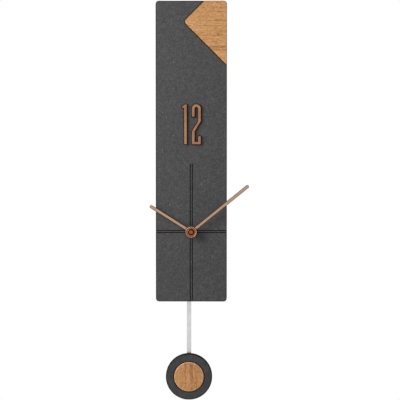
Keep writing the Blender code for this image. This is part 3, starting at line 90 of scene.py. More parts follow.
class Graph:
    """A material's node tree, with short ways to add and join nodes."""

    def __init__(self, name: str) -> None:
        """Start an empty Principled material.

        Args:
            name: The material's name.
        """
        self.made = bpy.data.materials.new(name)
        self.made.use_nodes = True
        self.tree = self.made.node_tree
        self.shader = self.tree.nodes["Principled BSDF"]
        self.place = self.add("ShaderNodeTexCoord").outputs["Object"]

    def add(self, kind: str, inputs: Optional[dict] = None, **settings: Any) -> bpy.types.Node:
        """Add a node.

        Args:
            kind: Blender's name for the node type.
            inputs: Values or sockets for its inputs, by name or index.
            **settings: The node's own properties.

        Returns:
            The new node.
        """
        node = self.tree.nodes.new(kind)
        for key, value in settings.items():
            setattr(node, key, value)
        for key, value in (inputs or {}).items():
            if isinstance(value, bpy.types.NodeSocket):
                self.tree.links.new(value, node.inputs[key])
            else:
                node.inputs[key].default_value = value
        return node

    def stretch(self, scale: Corner, turn: Corner = (0.0, 0.0, 0.0)) -> bpy.types.NodeSocket:
        """Return the piece's own coordinates, scaled and turned.

        Args:
            scale: Scale along each axis.
            turn: Turn about each axis, in radians.

        Returns:
            The vector socket.
        """
        node = self.add("ShaderNodeMapping", {"Vector": self.place, "Scale": scale,
                                              "Rotation": turn})
        return node.outputs["Vector"]

    def noise(self, scale: float, detail: float = 3.0, rough: float = 0.55,
              vector: Optional[bpy.types.NodeSocket] = None,
              distortion: float = 0.0) -> bpy.types.NodeSocket:
        """Return a fractal noise value between 0 and 1.

        Args:
            scale: Features per metre, times any stretch in the vector.
            detail: How many octaves it has.
            rough: How strong the finer octaves are.
            vector: Coordinates, or None for the piece's own.
            distortion: How far the pattern is bent.

        Returns:
            The value socket.
        """
        node = self.add("ShaderNodeTexNoise", {"Vector": vector or self.place, "Scale": scale,
                                               "Detail": detail, "Roughness": rough,
                                               "Distortion": distortion})
        return node.outputs["Fac"]

    def span(self, value: bpy.types.NodeSocket, low: float, high: float, out_low: float,
             out_high: float) -> bpy.types.NodeSocket:
        """Map a value from one range to another, clamped.

        Args:
            value: The value to map.
            low: Input at the start.
            high: Input at the end.
            out_low: Output at the start.
            out_high: Output at the end.

        Returns:
            The mapped value's socket.
        """
        node = self.add("ShaderNodeMapRange", {"Value": value, "From Min": low, "From Max": high,
                                               "To Min": out_low, "To Max": out_high})
        return node.outputs["Result"]

    def maths(self, operation: str, first: Any, second: Any = 0.0) -> bpy.types.NodeSocket:
        """Combine two values with a Math node."""
        return self.add("ShaderNodeMath", {0: first, 1: second}, operation=operation).outputs[0]

    def mix(self, amount: Any, first: Any, second: Any, blend: str = "MIX") -> bpy.types.NodeSocket:
        """Blend two colours; plain colours are given as three numbers.

        Args:
            amount: Share of the second colour.
            first: First colour or socket.
            second: Second colour or socket.
            blend: Blender's name for the way they blend.

        Returns:
            The blended colour's socket.
        """
        first, second = (value if isinstance(value, bpy.types.NodeSocket) else (*value, 1.0)
                         for value in (first, second))
        node = self.add("ShaderNodeMix", {0: amount, 6: first, 7: second}, data_type="RGBA",
                        blend_type=blend)
        return node.outputs[2]

    def colour(self, value: bpy.types.NodeSocket) -> None:
        """Use a socket as the base colour."""
        self.tree.links.new(value, self.shader.inputs["Base Color"])

    def roughness(self, value: bpy.types.NodeSocket) -> None:
        """Use a socket as the roughness."""
        self.tree.links.new(value, self.shader.inputs["Roughness"])

    def relief(self, height: bpy.types.NodeSocket, depth: float, strength: float = 1.0) -> None:
        """Raise the surface by a height pattern.

        Args:
            height: The pattern, from 0 to 1.
            depth: Its depth in metres.
            strength: How much of it shows.
        """
        node = self.add("ShaderNodeBump", {"Height": height, "Distance": depth,
                                           "Strength": strength})
        self.tree.links.new(node.outputs["Normal"], self.shader.inputs["Normal"])


@dataclass(frozen=True)
class Finish:
    """A named surface finish; each kind paints its own node tree."""

    name: str

    def material(self) -> bpy.types.Material:
        """Return the material, built on first use.

        Returns:
            The material.
        """
        found = bpy.data.materials.get(self.name)
        if found:
            return found
        graph = Graph(self.name)
        self.paint(graph)
        return graph.made

    def paint(self, graph: Graph) -> None:
        """Fill the node tree."""
        raise NotImplementedError

    def dress(self, piece: bpy.types.Object) -> None:
        """Give the finish to a whole piece."""
        piece.data.materials.clear()
        piece.data.materials.append(self.material())


@dataclass(frozen=True)
class SpeckledBoard(Finish):
    """Matt mineral board: fine two-tone grain with a few pale grains in it."""

    tone: Colour = (0.0548, 0.0550, 0.0556)
    grain: float = 480.0
    pale_cells: float = 190.0
    pale_share: float = 0.16
    relief_depth: float = 0.00008

    def paint(self, graph: Graph) -> None:
        """Lay cloudy tone, fine grain, faint grit and rare pale specks.

        Args:
            graph: The node tree to fill.
        """
        cloud = graph.span(graph.noise(26.0, 4.0), 0.3, 0.7, 0.93, 1.07)
        fine = graph.span(graph.noise(self.grain, 5.0, 0.85), 0.38, 0.62, 0.45, 1.55)
        coarse = graph.span(graph.noise(self.grain / 3, 2.0), 0.35, 0.65, 0.86, 1.14)
        level = graph.maths("MULTIPLY", graph.maths("MULTIPLY", cloud, fine), coarse)
        grit = graph.span(graph.noise(self.grain * 5, 2.0, 0.6), 0.35, 0.65, 0.62, 1.38)
        level = graph.maths("MULTIPLY", level, grit)
        shade = graph.add("ShaderNodeVectorMath", {0: self.tone, 1: level},
                          operation="MULTIPLY").outputs[0]
        cells = graph.add("ShaderNodeTexVoronoi", {"Vector": graph.place,
                                                   "Scale": self.pale_cells})
        near = graph.span(cells.outputs["Distance"], 0.09, 0.12, 1.0, 0.0)
        pick = graph.add("ShaderNodeSeparateColor", {0: cells.outputs["Color"]}).outputs[0]
        chosen = graph.maths("GREATER_THAN", pick, 1.0 - self.pale_share)
        speck = graph.maths("MULTIPLY", near, chosen)
        graph.colour(graph.mix(speck, shade, (0.26, 0.26, 0.25)))
        graph.roughness(graph.span(graph.noise(self.grain, 3.0), 0.3, 0.7, 0.60, 0.82))
        graph.relief(graph.noise(self.grain * 1.6, 3.0, 0.65), self.relief_depth, 0.7)


@dataclass(frozen=True)
class DarkCoreAndShade(Finish):
    """Nearly black fibre core where the board is cut; it also serves as painted shade in the grooves,
    pocket and eased edges, and on the bob's rim and well.
    """

    tone: Colour = (0.012, 0.012, 0.013)

    def paint(self, graph: Graph) -> None:
        """Lay pressed fibres in tone and relief.

        Args:
            graph: The node tree to fill.
        """
        fibre = graph.noise(1.0, 4.0, 0.6, graph.stretch((700.0, 1900.0, 700.0)))
        shade = graph.mix(graph.span(fibre, 0.35, 0.7, 0.0, 1.0), self.tone,
                          tuple(value * 2.2 for value in self.tone))
        graph.colour(shade)
        graph.shader.inputs["Specular IOR Level"].default_value = 0.08
        graph.roughness(graph.span(fibre, 0.3, 0.7, 0.80, 0.95))
        graph.relief(fibre, 0.00008, 0.6)


@dataclass(frozen=True)
class Oak(Finish):
    """Oiled oak: growth bands, open pores and short ray flecks along one axis."""

    light: Colour
    dark: Colour
    along: Axis
    pore_depth: float = 0.00012

    def lengthwise(self, along: float, across: float) -> Corner:
        """Return a scale that stretches a pattern along the grain.

        Args:
            along: Scale along the grain.
            across: Scale across it.

        Returns:
            The scale along x, y and z.
        """
        scale = [across, across, across]
        scale[self.along.value] = along
        return (scale[0], scale[1], scale[2])

    def paint(self, graph: Graph) -> None:
        """Lay bands, fibres, pores and flecks.

        Args:
            graph: The node tree to fill.
        """
        warp = graph.noise(1.0, 3.0, 0.5, graph.stretch(self.lengthwise(9.0, 42.0)))
        bands = graph.noise(1.0, 2.0, 0.5, graph.stretch(self.lengthwise(11.0, 330.0)), 0.25)
        fibre = graph.noise(1.0, 4.0, 0.75, graph.stretch(self.lengthwise(150.0, 1100.0)))
        pores = graph.noise(1.0, 2.0, 0.5, graph.stretch(self.lengthwise(230.0, 1000.0)), 0.2)
        fleck = graph.noise(1.0, 1.0, 0.5, graph.stretch(self.lengthwise(260.0, 620.0)))
        tone = graph.maths("ADD", graph.maths("MULTIPLY", graph.span(bands, 0.3, 0.7, 0.0, 1.0), 0.55),
                           graph.maths("MULTIPLY", graph.span(warp, 0.3, 0.7, 0.0, 1.0), 0.45))
        base = graph.mix(tone, self.light, self.dark)
        fibre_tone = graph.span(fibre, 0.3, 0.7, 0.62, 1.34)
        base = graph.add("ShaderNodeVectorMath", {0: base, 1: fibre_tone},
                         operation="MULTIPLY").outputs[0]
        pore = graph.maths("MULTIPLY", graph.span(pores, 0.55, 0.66, 0.0, 1.0),
                           graph.span(bands, 0.35, 0.6, 0.45, 1.0))
        line = graph.span(bands, 0.60, 0.68, 0.0, 0.55)
        pore = graph.maths("MAXIMUM", pore, line)
        deep = (self.dark[0] * 0.55, self.dark[1] * 0.42, self.dark[2] * 0.35)
        base = graph.mix(graph.maths("MULTIPLY", pore, 0.90), base, deep)
        pale = tuple(min(1.0, value * 1.22) for value in self.light)
        graph.colour(graph.mix(graph.span(fleck, 0.62, 0.72, 0.0, 0.65), base, pale))
        graph.roughness(graph.span(fibre, 0.3, 0.7, 0.46, 0.66))
        graph.shader.inputs["Specular IOR Level"].default_value = 0.3
        groove = graph.maths("SUBTRACT", graph.maths("MULTIPLY", fibre, 0.25), pore)
        graph.relief(groove, self.pore_depth, 0.6)


@dataclass(frozen=True)
class Pine(Finish):
    """Planed softwood: pale early wood and narrow amber late wood along one axis."""

    along: Axis
    pale: Colour = (0.760, 0.560, 0.320)
    amber: Colour = (0.560, 0.330, 0.130)
    ring_pitch: float = 260.0

    def paint(self, graph: Graph) -> None:
        """Lay growth rings, fine fibres and planer marks.

        Args:
            graph: The node tree to fill.
        """
        rings_scale = [self.ring_pitch] * 3
        rings_scale[self.along.value] = self.ring_pitch / 45
        fibre_scale = [2400.0] * 3
        fibre_scale[self.along.value] = 60.0
        rings = graph.noise(1.0, 2.0, 0.4, graph.stretch((rings_scale[0], rings_scale[1],
                                                         rings_scale[2])), 0.5)
        fibre = graph.noise(1.0, 3.0, 0.6, graph.stretch((fibre_scale[0], fibre_scale[1],
                                                         fibre_scale[2])))
        late = graph.maths("MULTIPLY", graph.span(rings, 0.48, 0.60, 0.0, 1.0), 0.8)
        base = graph.mix(late, self.pale, self.amber)
        graph.colour(graph.add("ShaderNodeVectorMath",
                               {0: base, 1: graph.span(fibre, 0.3, 0.7, 0.88, 1.10)},
                               operation="MULTIPLY").outputs[0])
        graph.roughness(graph.span(fibre, 0.3, 0.7, 0.55, 0.72))
        graph.relief(graph.maths("ADD", fibre, graph.maths("MULTIPLY", rings, 0.6)), 0.00006, 0.6)


@dataclass(frozen=True)
class PaintedShadeEdge(Finish):
    """Near-black painted shade for the edges of numerals, hands and hub cap, standing for their dark
    outlines and contact shadows.
    """

    tone: Colour

    def paint(self, graph: Graph) -> None:
        """Lay the cloudy painted shade with fine cut marks.

        Args:
            graph: The node tree to fill.
        """
        marks = graph.noise(1.0, 3.0, 0.6, graph.stretch((900.0, 4200.0, 900.0)))
        graph.colour(graph.mix(graph.span(marks, 0.35, 0.65, 0.0, 1.0), self.tone,
                               tuple(value * 1.8 for value in self.tone)))
        graph.shader.inputs["Specular IOR Level"].default_value = 0.10
        graph.roughness(graph.span(marks, 0.3, 0.7, 0.60, 0.80))
        graph.relief(marks, 0.00004, 0.5)


@dataclass(frozen=True)
class BrushedMetal(Finish):
    """Metal with fine straight brush marks and soft stains."""

    tone: Colour
    gloss: float
    along: Axis
    turn: float = 0.0
    stain: float = 0.06

    def paint(self, graph: Graph) -> None:
        """Lay brush marks in tone, gloss and relief.

        Args:
            graph: The node tree to fill.
        """
        scale = [3200.0, 3200.0, 3200.0]
        scale[self.along.value] = 55.0
        turned = graph.add("ShaderNodeVectorRotate", {"Vector": graph.place, "Angle": self.turn},
                           rotation_type="Y_AXIS").outputs[0]
        marks = graph.add("ShaderNodeMapping", {"Vector": turned, "Scale": tuple(scale)}).outputs[0]
        brush = graph.noise(1.0, 3.0, 0.65, marks)
        cloud = graph.noise(75.0, 3.0)
        level = graph.maths("MULTIPLY", graph.span(brush, 0.25, 0.75, 0.90, 1.08),
                            graph.span(cloud, 0.3, 0.7, 1.0 - self.stain, 1.0 + self.stain))
        shade = graph.add("ShaderNodeVectorMath", {0: self.tone, 1: level},
                          operation="MULTIPLY").outputs[0]
        graph.colour(shade)
        graph.shader.inputs["Metallic"].default_value = 1.0
        graph.roughness(graph.span(brush, 0.25, 0.75, self.gloss - 0.07, self.gloss + 0.09))
        graph.relief(brush, 0.00002, 0.5)


@dataclass(frozen=True)
class TurnedMetal(Finish):
    """Lathe-turned metal: fine rings about a y-direction axis."""

    tone: Colour
    gloss: float
    centre: Corner = (0.0, 0.0, 0.0)

    def paint(self, graph: Graph) -> None:
        """Lay rings round the axis in tone, gloss and relief.

        Args:
            graph: The node tree to fill.
        """
        local = graph.add("ShaderNodeVectorMath", {0: graph.place, 1: self.centre},
                          operation="SUBTRACT").outputs[0]
        flat = graph.add("ShaderNodeVectorMath", {0: local, 1: (1.0, 0.0, 1.0)},
                         operation="MULTIPLY").outputs[0]
        reach = graph.add("ShaderNodeVectorMath", {0: flat}, operation="LENGTH").outputs["Value"]
        rings = graph.add("ShaderNodeTexNoise", {"W": reach, "Scale": 5200.0, "Detail": 3.0,
                                                 "Roughness": 0.6},
                          noise_dimensions="1D").outputs["Fac"]
        cloud = graph.noise(160.0, 3.0)
        level = graph.maths("MULTIPLY", graph.span(rings, 0.25, 0.75, 0.88, 1.10),
                            graph.span(cloud, 0.3, 0.7, 0.93, 1.06))
        shade = graph.add("ShaderNodeVectorMath", {0: self.tone, 1: level},
                          operation="MULTIPLY").outputs[0]
        graph.colour(shade)
        graph.shader.inputs["Metallic"].default_value = 1.0
        graph.roughness(graph.span(rings, 0.25, 0.75, self.gloss - 0.06, self.gloss + 0.10))
        graph.relief(rings, 0.00002, 0.5)


@dataclass(frozen=True)
class MouldedPlastic(Finish):
    """Injection-moulded plastic with a spark-eroded grain."""

    tone: Colour
    gloss: float
    grain: float = 1900.0

    def paint(self, graph: Graph) -> None:
        """Lay a faint cloud, gloss spots and the mould grain.

        Args:
            graph: The node tree to fill.
        """
        cloud = graph.span(graph.noise(60.0, 3.0), 0.3, 0.7, 0.92, 1.08)
        fine = graph.noise(self.grain, 2.0)
        level = graph.maths("MULTIPLY", cloud, graph.span(fine, 0.3, 0.7, 0.96, 1.04))
        shade = graph.add("ShaderNodeVectorMath", {0: self.tone, 1: level},
                          operation="MULTIPLY").outputs[0]
        graph.colour(shade)
        graph.roughness(graph.span(fine, 0.3, 0.7, self.gloss - 0.06, self.gloss + 0.08))
        graph.relief(fine, 0.00003, 0.45)


@dataclass(frozen=True)
class Rubber(Finish):
    """Dull rubber with a dusty bloom."""

    tone: Colour = (0.022, 0.022, 0.023)

    def paint(self, graph: Graph) -> None:
        """Lay the bloom and a coarse grain.

        Args:
            graph: The node tree to fill.
        """
        bloom = graph.span(graph.noise(240.0, 4.0, 0.6), 0.45, 0.8, 0.0, 0.35)
        graph.colour(graph.mix(bloom, self.tone, (0.07, 0.07, 0.068)))
        graph.roughness(graph.span(graph.noise(500.0), 0.3, 0.7, 0.78, 0.95))
        graph.relief(graph.noise(1400.0, 3.0), 0.00004, 0.6)


@dataclass(frozen=True)
class CellWrap(Finish):
    """Printed wrap of the cell: a wide dark band and a copper end band, with no lettering."""

    band_x: float
    line_x: float
    body: Colour = (0.028, 0.060, 0.120)
    end: Colour = (0.560, 0.250, 0.090)

    def paint(self, graph: Graph) -> None:
        """Split the wrap by its length and add film ripples.

        Args:
            graph: The node tree to fill.
        """
        along = graph.add("ShaderNodeSeparateXYZ", {0: graph.place}).outputs["X"]
        wide = graph.maths("GREATER_THAN", along, self.band_x)
        thin = graph.maths("COMPARE", along, self.line_x)
        thin.node.inputs[2].default_value = 0.0006
        ripple = graph.noise(420.0, 3.0)
        tone = graph.mix(wide, self.body, self.end)
        tone = graph.mix(thin, tone, (0.62, 0.62, 0.60))
        level = graph.span(ripple, 0.3, 0.7, 0.92, 1.08)
        shade = graph.add("ShaderNodeVectorMath", {0: tone, 1: level},
                          operation="MULTIPLY").outputs[0]
        graph.colour(shade)
        graph.roughness(graph.span(ripple, 0.3, 0.7, 0.22, 0.36))
        graph.relief(ripple, 0.00002, 0.4)


@dataclass(frozen=True)
class Winding(Finish):
    """Enamelled copper wire, wound in fine turns."""

    tone: Colour = (0.500, 0.170, 0.055)
    turns: float = 4200.0
    along: Axis = Axis.X

    def paint(self, graph: Graph) -> None:
        """Lay one ridge per turn of wire, with painted shade between the turns.

        Args:
            graph: The node tree to fill.
        """
        wave = graph.add("ShaderNodeTexWave", {"Vector": graph.place, "Scale": self.turns / 20,
                                               "Distortion": 0.6, "Detail": 1.0},
                         bands_direction=self.along.name).outputs["Fac"]
        # Painted shade: a near-black copper fills the grooves between turns.
        graph.colour(graph.mix(graph.span(wave, 0.0, 1.0, 0.25, 1.0), (0.13, 0.035, 0.012),
                               self.tone))
        graph.shader.inputs["Metallic"].default_value = 0.85
        graph.roughness(graph.span(wave, 0.0, 1.0, 0.45, 0.25))
        graph.relief(wave, 0.00006, 0.8)


@dataclass(frozen=True)
class SolderMask(Finish):
    """Green circuit board with faint copper tracks under the mask."""

    tone: Colour = (0.015, 0.120, 0.050)

    def paint(self, graph: Graph) -> None:
        """Lay tracks as thin bands under the lacquer.

        Args:
            graph: The node tree to fill.
        """
        tracks = graph.add("ShaderNodeTexBrick", {"Vector": graph.stretch((620.0, 620.0, 620.0),
                                                                          (math.pi / 2, 0.0, 0.0)),
                                                  "Scale": 1.0, "Mortar Size": 0.09,
                                                  "Brick Width": 2.4, "Row Height": 0.7})
        graph.colour(graph.mix(tracks.outputs["Fac"], self.tone, (0.045, 0.230, 0.090)))
        graph.roughness(graph.span(graph.noise(300.0), 0.3, 0.7, 0.28, 0.42))
        graph.relief(tracks.outputs["Fac"], 0.00003, 0.6)


# Finishes of this clock
BOARD = SpeckledBoard("speckled_board")
# Near-black core; also painted shade in grooves, pocket, board edges and round the bob's well.
CORE_AND_SHADE = DarkCoreAndShade("dark_core_and_painted_shade")
BOB_BOARD = SpeckledBoard("speckled_bob", (0.0405, 0.0402, 0.0410))
OAK_CORNER = Oak("oak_corner_grain", (0.663, 0.356, 0.143), (0.476, 0.231, 0.085), Axis.X)
OAK_BOB = Oak("oak_bob_grain", (0.610, 0.308, 0.125), (0.429, 0.199, 0.074), Axis.Z)
# Painted shade: a dark oak for the corner piece's eased edges and sides.
OAK_EDGE_SHADE = Oak("oak_edge_painted_shade", (0.105, 0.036, 0.014), (0.060, 0.020, 0.009), Axis.X)
# Painted highlight: a pale oak for the bob disc's rim.
OAK_EDGE_HIGHLIGHT = Oak("oak_edge_painted_highlight", (0.880, 0.560, 0.280), (0.720, 0.400, 0.170), Axis.X)
PINE_UPRIGHT = Pine("pine_upright_grain", Axis.Z)
PINE_LEVEL = Pine("pine_level_grain", Axis.X)
# Painted shade: near-black edges for the numerals, hands and hub cap.
PAINTED_EDGE_SHADE = PaintedShadeEdge("dark_edge_painted_shade", (0.016, 0.005, 0.0025))
COPPER_FACE = BrushedMetal("copper_numeral", (0.400, 0.203, 0.108), 0.42, Axis.Z, 0.0, 0.18)
COPPER_TURNED_TONE = (0.300, 0.112, 0.050)
ROSE_GOLD_TONE = (0.500, 0.312, 0.203)
ALUMINIUM = BrushedMetal("aluminium_rod", (0.750, 0.754, 0.760), 0.34, Axis.Z)
ZINC = BrushedMetal("zinc_plate", (0.520, 0.530, 0.545), 0.38, Axis.X, 0.0, 0.12)
BRASS = BrushedMetal("brass_sheet", (0.600, 0.410, 0.150), 0.34, Axis.X)
BLACK_PLASTIC = MouldedPlastic("black_moulding", (0.030, 0.030, 0.032), 0.50)
WHITE_PLASTIC = MouldedPlastic("white_moulding", (0.740, 0.730, 0.700), 0.42)
MAGNET = MouldedPlastic("sintered_magnet", (0.090, 0.090, 0.098), 0.36)
RUBBER = Rubber("rubber_dull")
COIL_X = Winding("winding_lengthwise", along=Axis.X)
COIL_Y = Winding("winding_flat", along=Axis.Y)
MASK = SolderMask("solder_mask")


# ---------------------------------------------------------------- outlines

def arc(centre: Point, radius: float, start: float, end: float, steps: int) -> list[Point]:
    """Return points on an arc, angles in degrees.

    Args:
        centre: The arc's centre.
        radius: Its radius.
        start: Angle of the first point.
        end: Angle of the last point.
        steps: Number of straight pieces.

    Returns:
        The points, both ends included.
    """
    points = []
    for step in range(steps + 1):
        angle = math.radians(start + (end - start) * step / steps)
        points.append((centre[0] + radius * math.cos(angle), centre[1] + radius * math.sin(angle)))
    return points


def circle(centre: Point, radius: float, steps: int = 48) -> list[Point]:
    """Return a closed circle."""
    return arc(centre, radius, 0.0, 360.0, steps)[:-1]


def rounded(corners: Sequence[Corner], facets: int = 5, closed: bool = True) -> list[Point]:
    """Round the corners of an outline.

    Args:
        corners: (first, second, radius) of each corner.
        facets: Straight pieces in each rounding.
        closed: Whether the last corner joins the first.

    Returns:
        The outline with its roundings.
    """
    points: list[Point] = []
    count = len(corners)
    for index, (a, b, radius) in enumerate(corners):
        here = Vector((a, b))
        if radius <= 0 or (not closed and index in (0, count - 1)):
            points.append((a, b))
            continue
        back = Vector(corners[index - 1][:2]) - here
        ahead = Vector(corners[(index + 1) % count][:2]) - here
        half = back.angle(ahead) / 2
        reach = min(radius / math.tan(half), 0.49 * back.length, 0.49 * ahead.length)
        radius = reach * math.tan(half)
        middle = here + (back.normalized() + ahead.normalized()).normalized() * (
            radius / math.sin(half))
        start = here + back.normalized() * reach - middle
        end = here + ahead.normalized() * reach - middle
        sweep = start.angle_signed(end)
        for step in range(facets + 1):
            spoke = start.copy()
            spoke.rotate(Matrix.Rotation(-sweep * step / facets, 2))
            points.append((middle.x + spoke.x, middle.y + spoke.y))
    return points


def rounded_box(left: float, low: float, right: float, high: float, radius: float,
                facets: int = 6) -> list[Point]:
    """Return a rectangle with equal rounded corners."""
    return rounded([(left, low, radius), (right, low, radius), (right, high, radius),
                    (left, high, radius)], facets)


def signed_area(loop: Sequence[Point]) -> float:
    """Return the area of a closed outline, positive if it runs anticlockwise.

    Args:
        loop: The closed outline.

    Returns:
        The area, positive when it runs anticlockwise.
    """
    total = 0.0
    for (ax, az), (bx, bz) in zip(loop, list(loop[1:]) + [loop[0]]):
        total += ax * bz - bx * az
    return total / 2


def inset(loop: Sequence[Point], distance: float) -> list[Point]:
    """Move a closed outline inwards, or outwards if the distance is negative.

    Args:
        loop: The closed outline.
        distance: How far to move it in; less than zero moves it out.

    Returns:
        The moved outline, point for point.
    """
    side = 1.0 if signed_area(loop) > 0 else -1.0
    moved = []
    count = len(loop)
    for index, (x, z) in enumerate(loop):
        here = Vector((x, z))
        before = (here - Vector(loop[index - 1])).normalized()
        after = (Vector(loop[(index + 1) % count]) - here).normalized()
        normal = Vector((-(before.y + after.y), before.x + after.x)).normalized() * side
        flat = Vector((-before.y, before.x)) * side
        here += normal * distance / max(0.35, normal.dot(flat))
        moved.append((here.x, here.y))
    return moved


# ---------------------------------------------------------------- meshes

def finish_mesh(name: str, bm: bmesh.types.BMesh, sharp: float = 35.0) -> bpy.types.Object:
    """Turn a bmesh into a shaded object in the scene.

    Args:
        name: The piece's name.
        bm: Its mesh, which is freed.
        sharp: Edges that turn more than this many degrees stay crisp.

    Returns:
        The new object.
    """
    bmesh.ops.recalc_face_normals(bm, faces=bm.faces)
    mesh = bpy.data.meshes.new(name)
    bm.to_mesh(mesh)
    bm.free()
    mesh.shade_smooth()
    mesh.set_sharp_from_angle(angle=math.radians(sharp))
    piece = bpy.data.objects.new(name, mesh)
    bpy.context.scene.collection.objects.link(piece)
    weighted = piece.modifiers.new("weighted", "WEIGHTED_NORMAL")
    weighted.keep_sharp = True
    return piece


def edge_sections(front: float, back: float, front_edge: float, back_edge: float,
                  facets: int, front_drop: Optional[float]) -> list[Point]:
    """Return (inset, y) steps from a plate's front face to its rear face.

    Args:
        front: y of the front face.
        back: y of the rear face.
        front_edge: Width of the front rounding.
        back_edge: Radius of the rear rounding.
        facets: Facets of each rounded edge.
        front_drop: Depth of the front rounding, or None for its width.

    Returns:
        The steps, front first.
    """
    drop = front_edge if front_drop is None else front_drop
    steps = []
    for step in range(facets + 1):
        angle = math.pi / 2 * step / facets
        steps.append((front_edge * (1 - math.sin(angle)), front + drop * (1 - math.cos(angle))))
    for step in range(facets + 1):
        angle = math.pi / 2 * (1 - step / facets)
        steps.append((back_edge * (1 - math.sin(angle)), back - back_edge * (1 - math.cos(angle))))
    return steps


def cap_faces(bm: bmesh.types.BMesh, rings: Sequence[Sequence[bmesh.types.BMVert]]) -> None:
    """Close the end of a plate; rings after the first are holes.

    Args:
        bm: The mesh to close.
        rings: The rim of the outline, then of each hole.
    """
    if len(rings) == 1:
        bm.faces.new(rings[0])
        return
    edges = []
    for ring in rings:
        for first, second in zip(ring, list(ring[1:]) + [ring[0]]):
            edges.append(bm.edges.get((first, second)) or bm.edges.new((first, second)))
    bmesh.ops.triangle_fill(bm, use_beauty=True, edges=edges)


def plate(outer: Sequence[Point], front: float, back: float, front_edge: float,
          back_edge: float, holes: Sequence[Sequence[Point]] = (), facets: int = 3,
          front_drop: Optional[float] = None) -> bmesh.types.BMesh:
    """Make a plate with rounded edges from an outline in x and z.

    Args:
        outer: The outline.
        front: y of the front face.
        back: y of the rear face.
        front_edge: Width of the front edge's rounding.
        back_edge: Radius of the rear edge.
        holes: Outlines cut through it.
        facets: Facets of each rounded edge.
        front_drop: Depth of the front edge's rounding, if it differs from its width.

    Returns:
        The mesh.
    """
    bm = bmesh.new()
    sections = edge_sections(front, back, front_edge, back_edge, facets, front_drop)
    starts, ends = [], []
    for index, loop in enumerate([outer, *holes]):
        grow = 1.0 if index == 0 else -1.0
        rings = []
        for distance, y in sections:
            moved = inset(loop, grow * distance) if distance > 1e-9 else loop
            rings.append([bm.verts.new((x, y, z)) for x, z in moved])
        for near, far in zip(rings, rings[1:]):
            count = len(near)
            for k in range(count):
                n = (k + 1) % count
                bm.faces.new((near[k], near[n], far[n], far[k]))
        starts.append(rings[0])
        ends.append(rings[-1])
    cap_faces(bm, starts)
    cap_faces(bm, ends)
    return bm


def lathe(profile: Sequence[Point], centre: Point, steps: int = 96) -> bmesh.types.BMesh:
    """Spin a profile of (radius, y) points about the y direction through a centre.

    Args:
        profile: Points as (radius, y), from the front to the back.
        centre: The axis it is made round, as (x, z).
        steps: Facets round the axis.

    Returns:
        The turned mesh.
    """
    bm = bmesh.new()
    rings = []
    for radius, y in profile:
        if radius < 1e-7:
            rings.append([bm.verts.new((centre[0], y, centre[1]))])
        else:
            rings.append([bm.verts.new((x, y, z)) for x, z in circle(centre, radius, steps)])
    pairs = list(zip(rings, rings[1:]))
    if len(rings[0]) > 1 and len(rings[-1]) > 1:
        pairs.append((rings[-1], rings[0]))
    for near, far in pairs:
        for k in range(steps):
            n = (k + 1) % steps
            if len(near) == 1:
                bm.faces.new((near[0], far[n], far[k]))
            elif len(far) == 1:
                bm.faces.new((near[k], near[n], far[0]))
            else:
                bm.faces.new((near[k], near[n], far[n], far[k]))
    return bm


def block(low: Corner, high: Corner, edge: float = 0.0, facets: int = 2) -> bmesh.types.BMesh:
    """Make a box between two corners with rounded edges.

    Args:
        low: Low corner.
        high: High corner.
        edge: Width of the rounded edges.
        facets: Facets of each rounded edge.

    Returns:
        The box as a mesh.
    """
    bm = bmesh.new()
    bmesh.ops.create_cube(bm, size=1.0)
    bmesh.ops.scale(bm, vec=[b - a for a, b in zip(low, high)], verts=bm.verts)
    bmesh.ops.translate(bm, vec=[(a + b) / 2 for a, b in zip(low, high)], verts=bm.verts)
    if edge:
        bmesh.ops.bevel(bm, geom=bm.edges[:], offset=edge, segments=facets, profile=0.5,
                        affect="EDGES")
    return bm


def carve(piece: bpy.types.Object, tools: Iterable[bmesh.types.BMesh],
          operation: str = "DIFFERENCE", sharp: float = 35.0) -> None:
    """Cut shapes out of a piece, or join them to it, and keep only the result.

    Args:
        piece: The piece to work on.
        tools: The shapes, which are used up.
        operation: DIFFERENCE, UNION or INTERSECT.
        sharp: Edges that turn more than this many degrees stay crisp.
    """
    helpers = []
    for number, bm in enumerate(tools):
        helper = finish_mesh(f"{piece.name}_tool_{number}", bm)
        helpers.append(helper)
        step = piece.modifiers.new(helper.name, "BOOLEAN")
        step.operation = operation
        step.solver = "EXACT"
        step.object = helper
    weighted = piece.modifiers.get("weighted")
    if weighted:
        piece.modifiers.remove(weighted)
    graph = bpy.context.evaluated_depsgraph_get()
    mesh = bpy.data.meshes.new_from_object(piece.evaluated_get(graph))
    piece.modifiers.clear()
    mesh.name = piece.name
    piece.data = mesh
    for helper in helpers:
        bpy.data.objects.remove(helper, do_unlink=True)
    mesh.shade_smooth()
    mesh.set_sharp_from_angle(angle=math.radians(sharp))
    weighted = piece.modifiers.new("weighted", "WEIGHTED_NORMAL")
    weighted.keep_sharp = True


def cross_recess(centre: Point, y: float, reach: float, width: float,
                 depth: float) -> bmesh.types.BMesh:
    """Make the cutter for a screw's cross slot, which opens towards +y.

    Args:
        centre: The screw's axis, as (x, z).
        y: y of the head's outer face.
        reach: Length of each arm.
        width: Width of each arm.
        depth: How deep it goes.

    Returns:
        The cutter.
    """
    x, z = centre
    half = width / 2
    outline = [(x - reach, z - half), (x - half, z - half), (x - half, z - reach),
               (x + half, z - reach), (x + half, z - half), (x + reach, z - half),
               (x + reach, z + half), (x + half, z + half), (x + half, z + reach),
               (x - half, z + reach), (x - half, z + half), (x - reach, z + half)]
    return plate(outline, y - depth, y + depth, 0.0, 0.0, facets=1)


def centre_of(node: str) -> Vector:
    """Return the middle of a CAD node's box at rest."""
    low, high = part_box(node)
    return (Vector(low) + Vector(high)) / 2


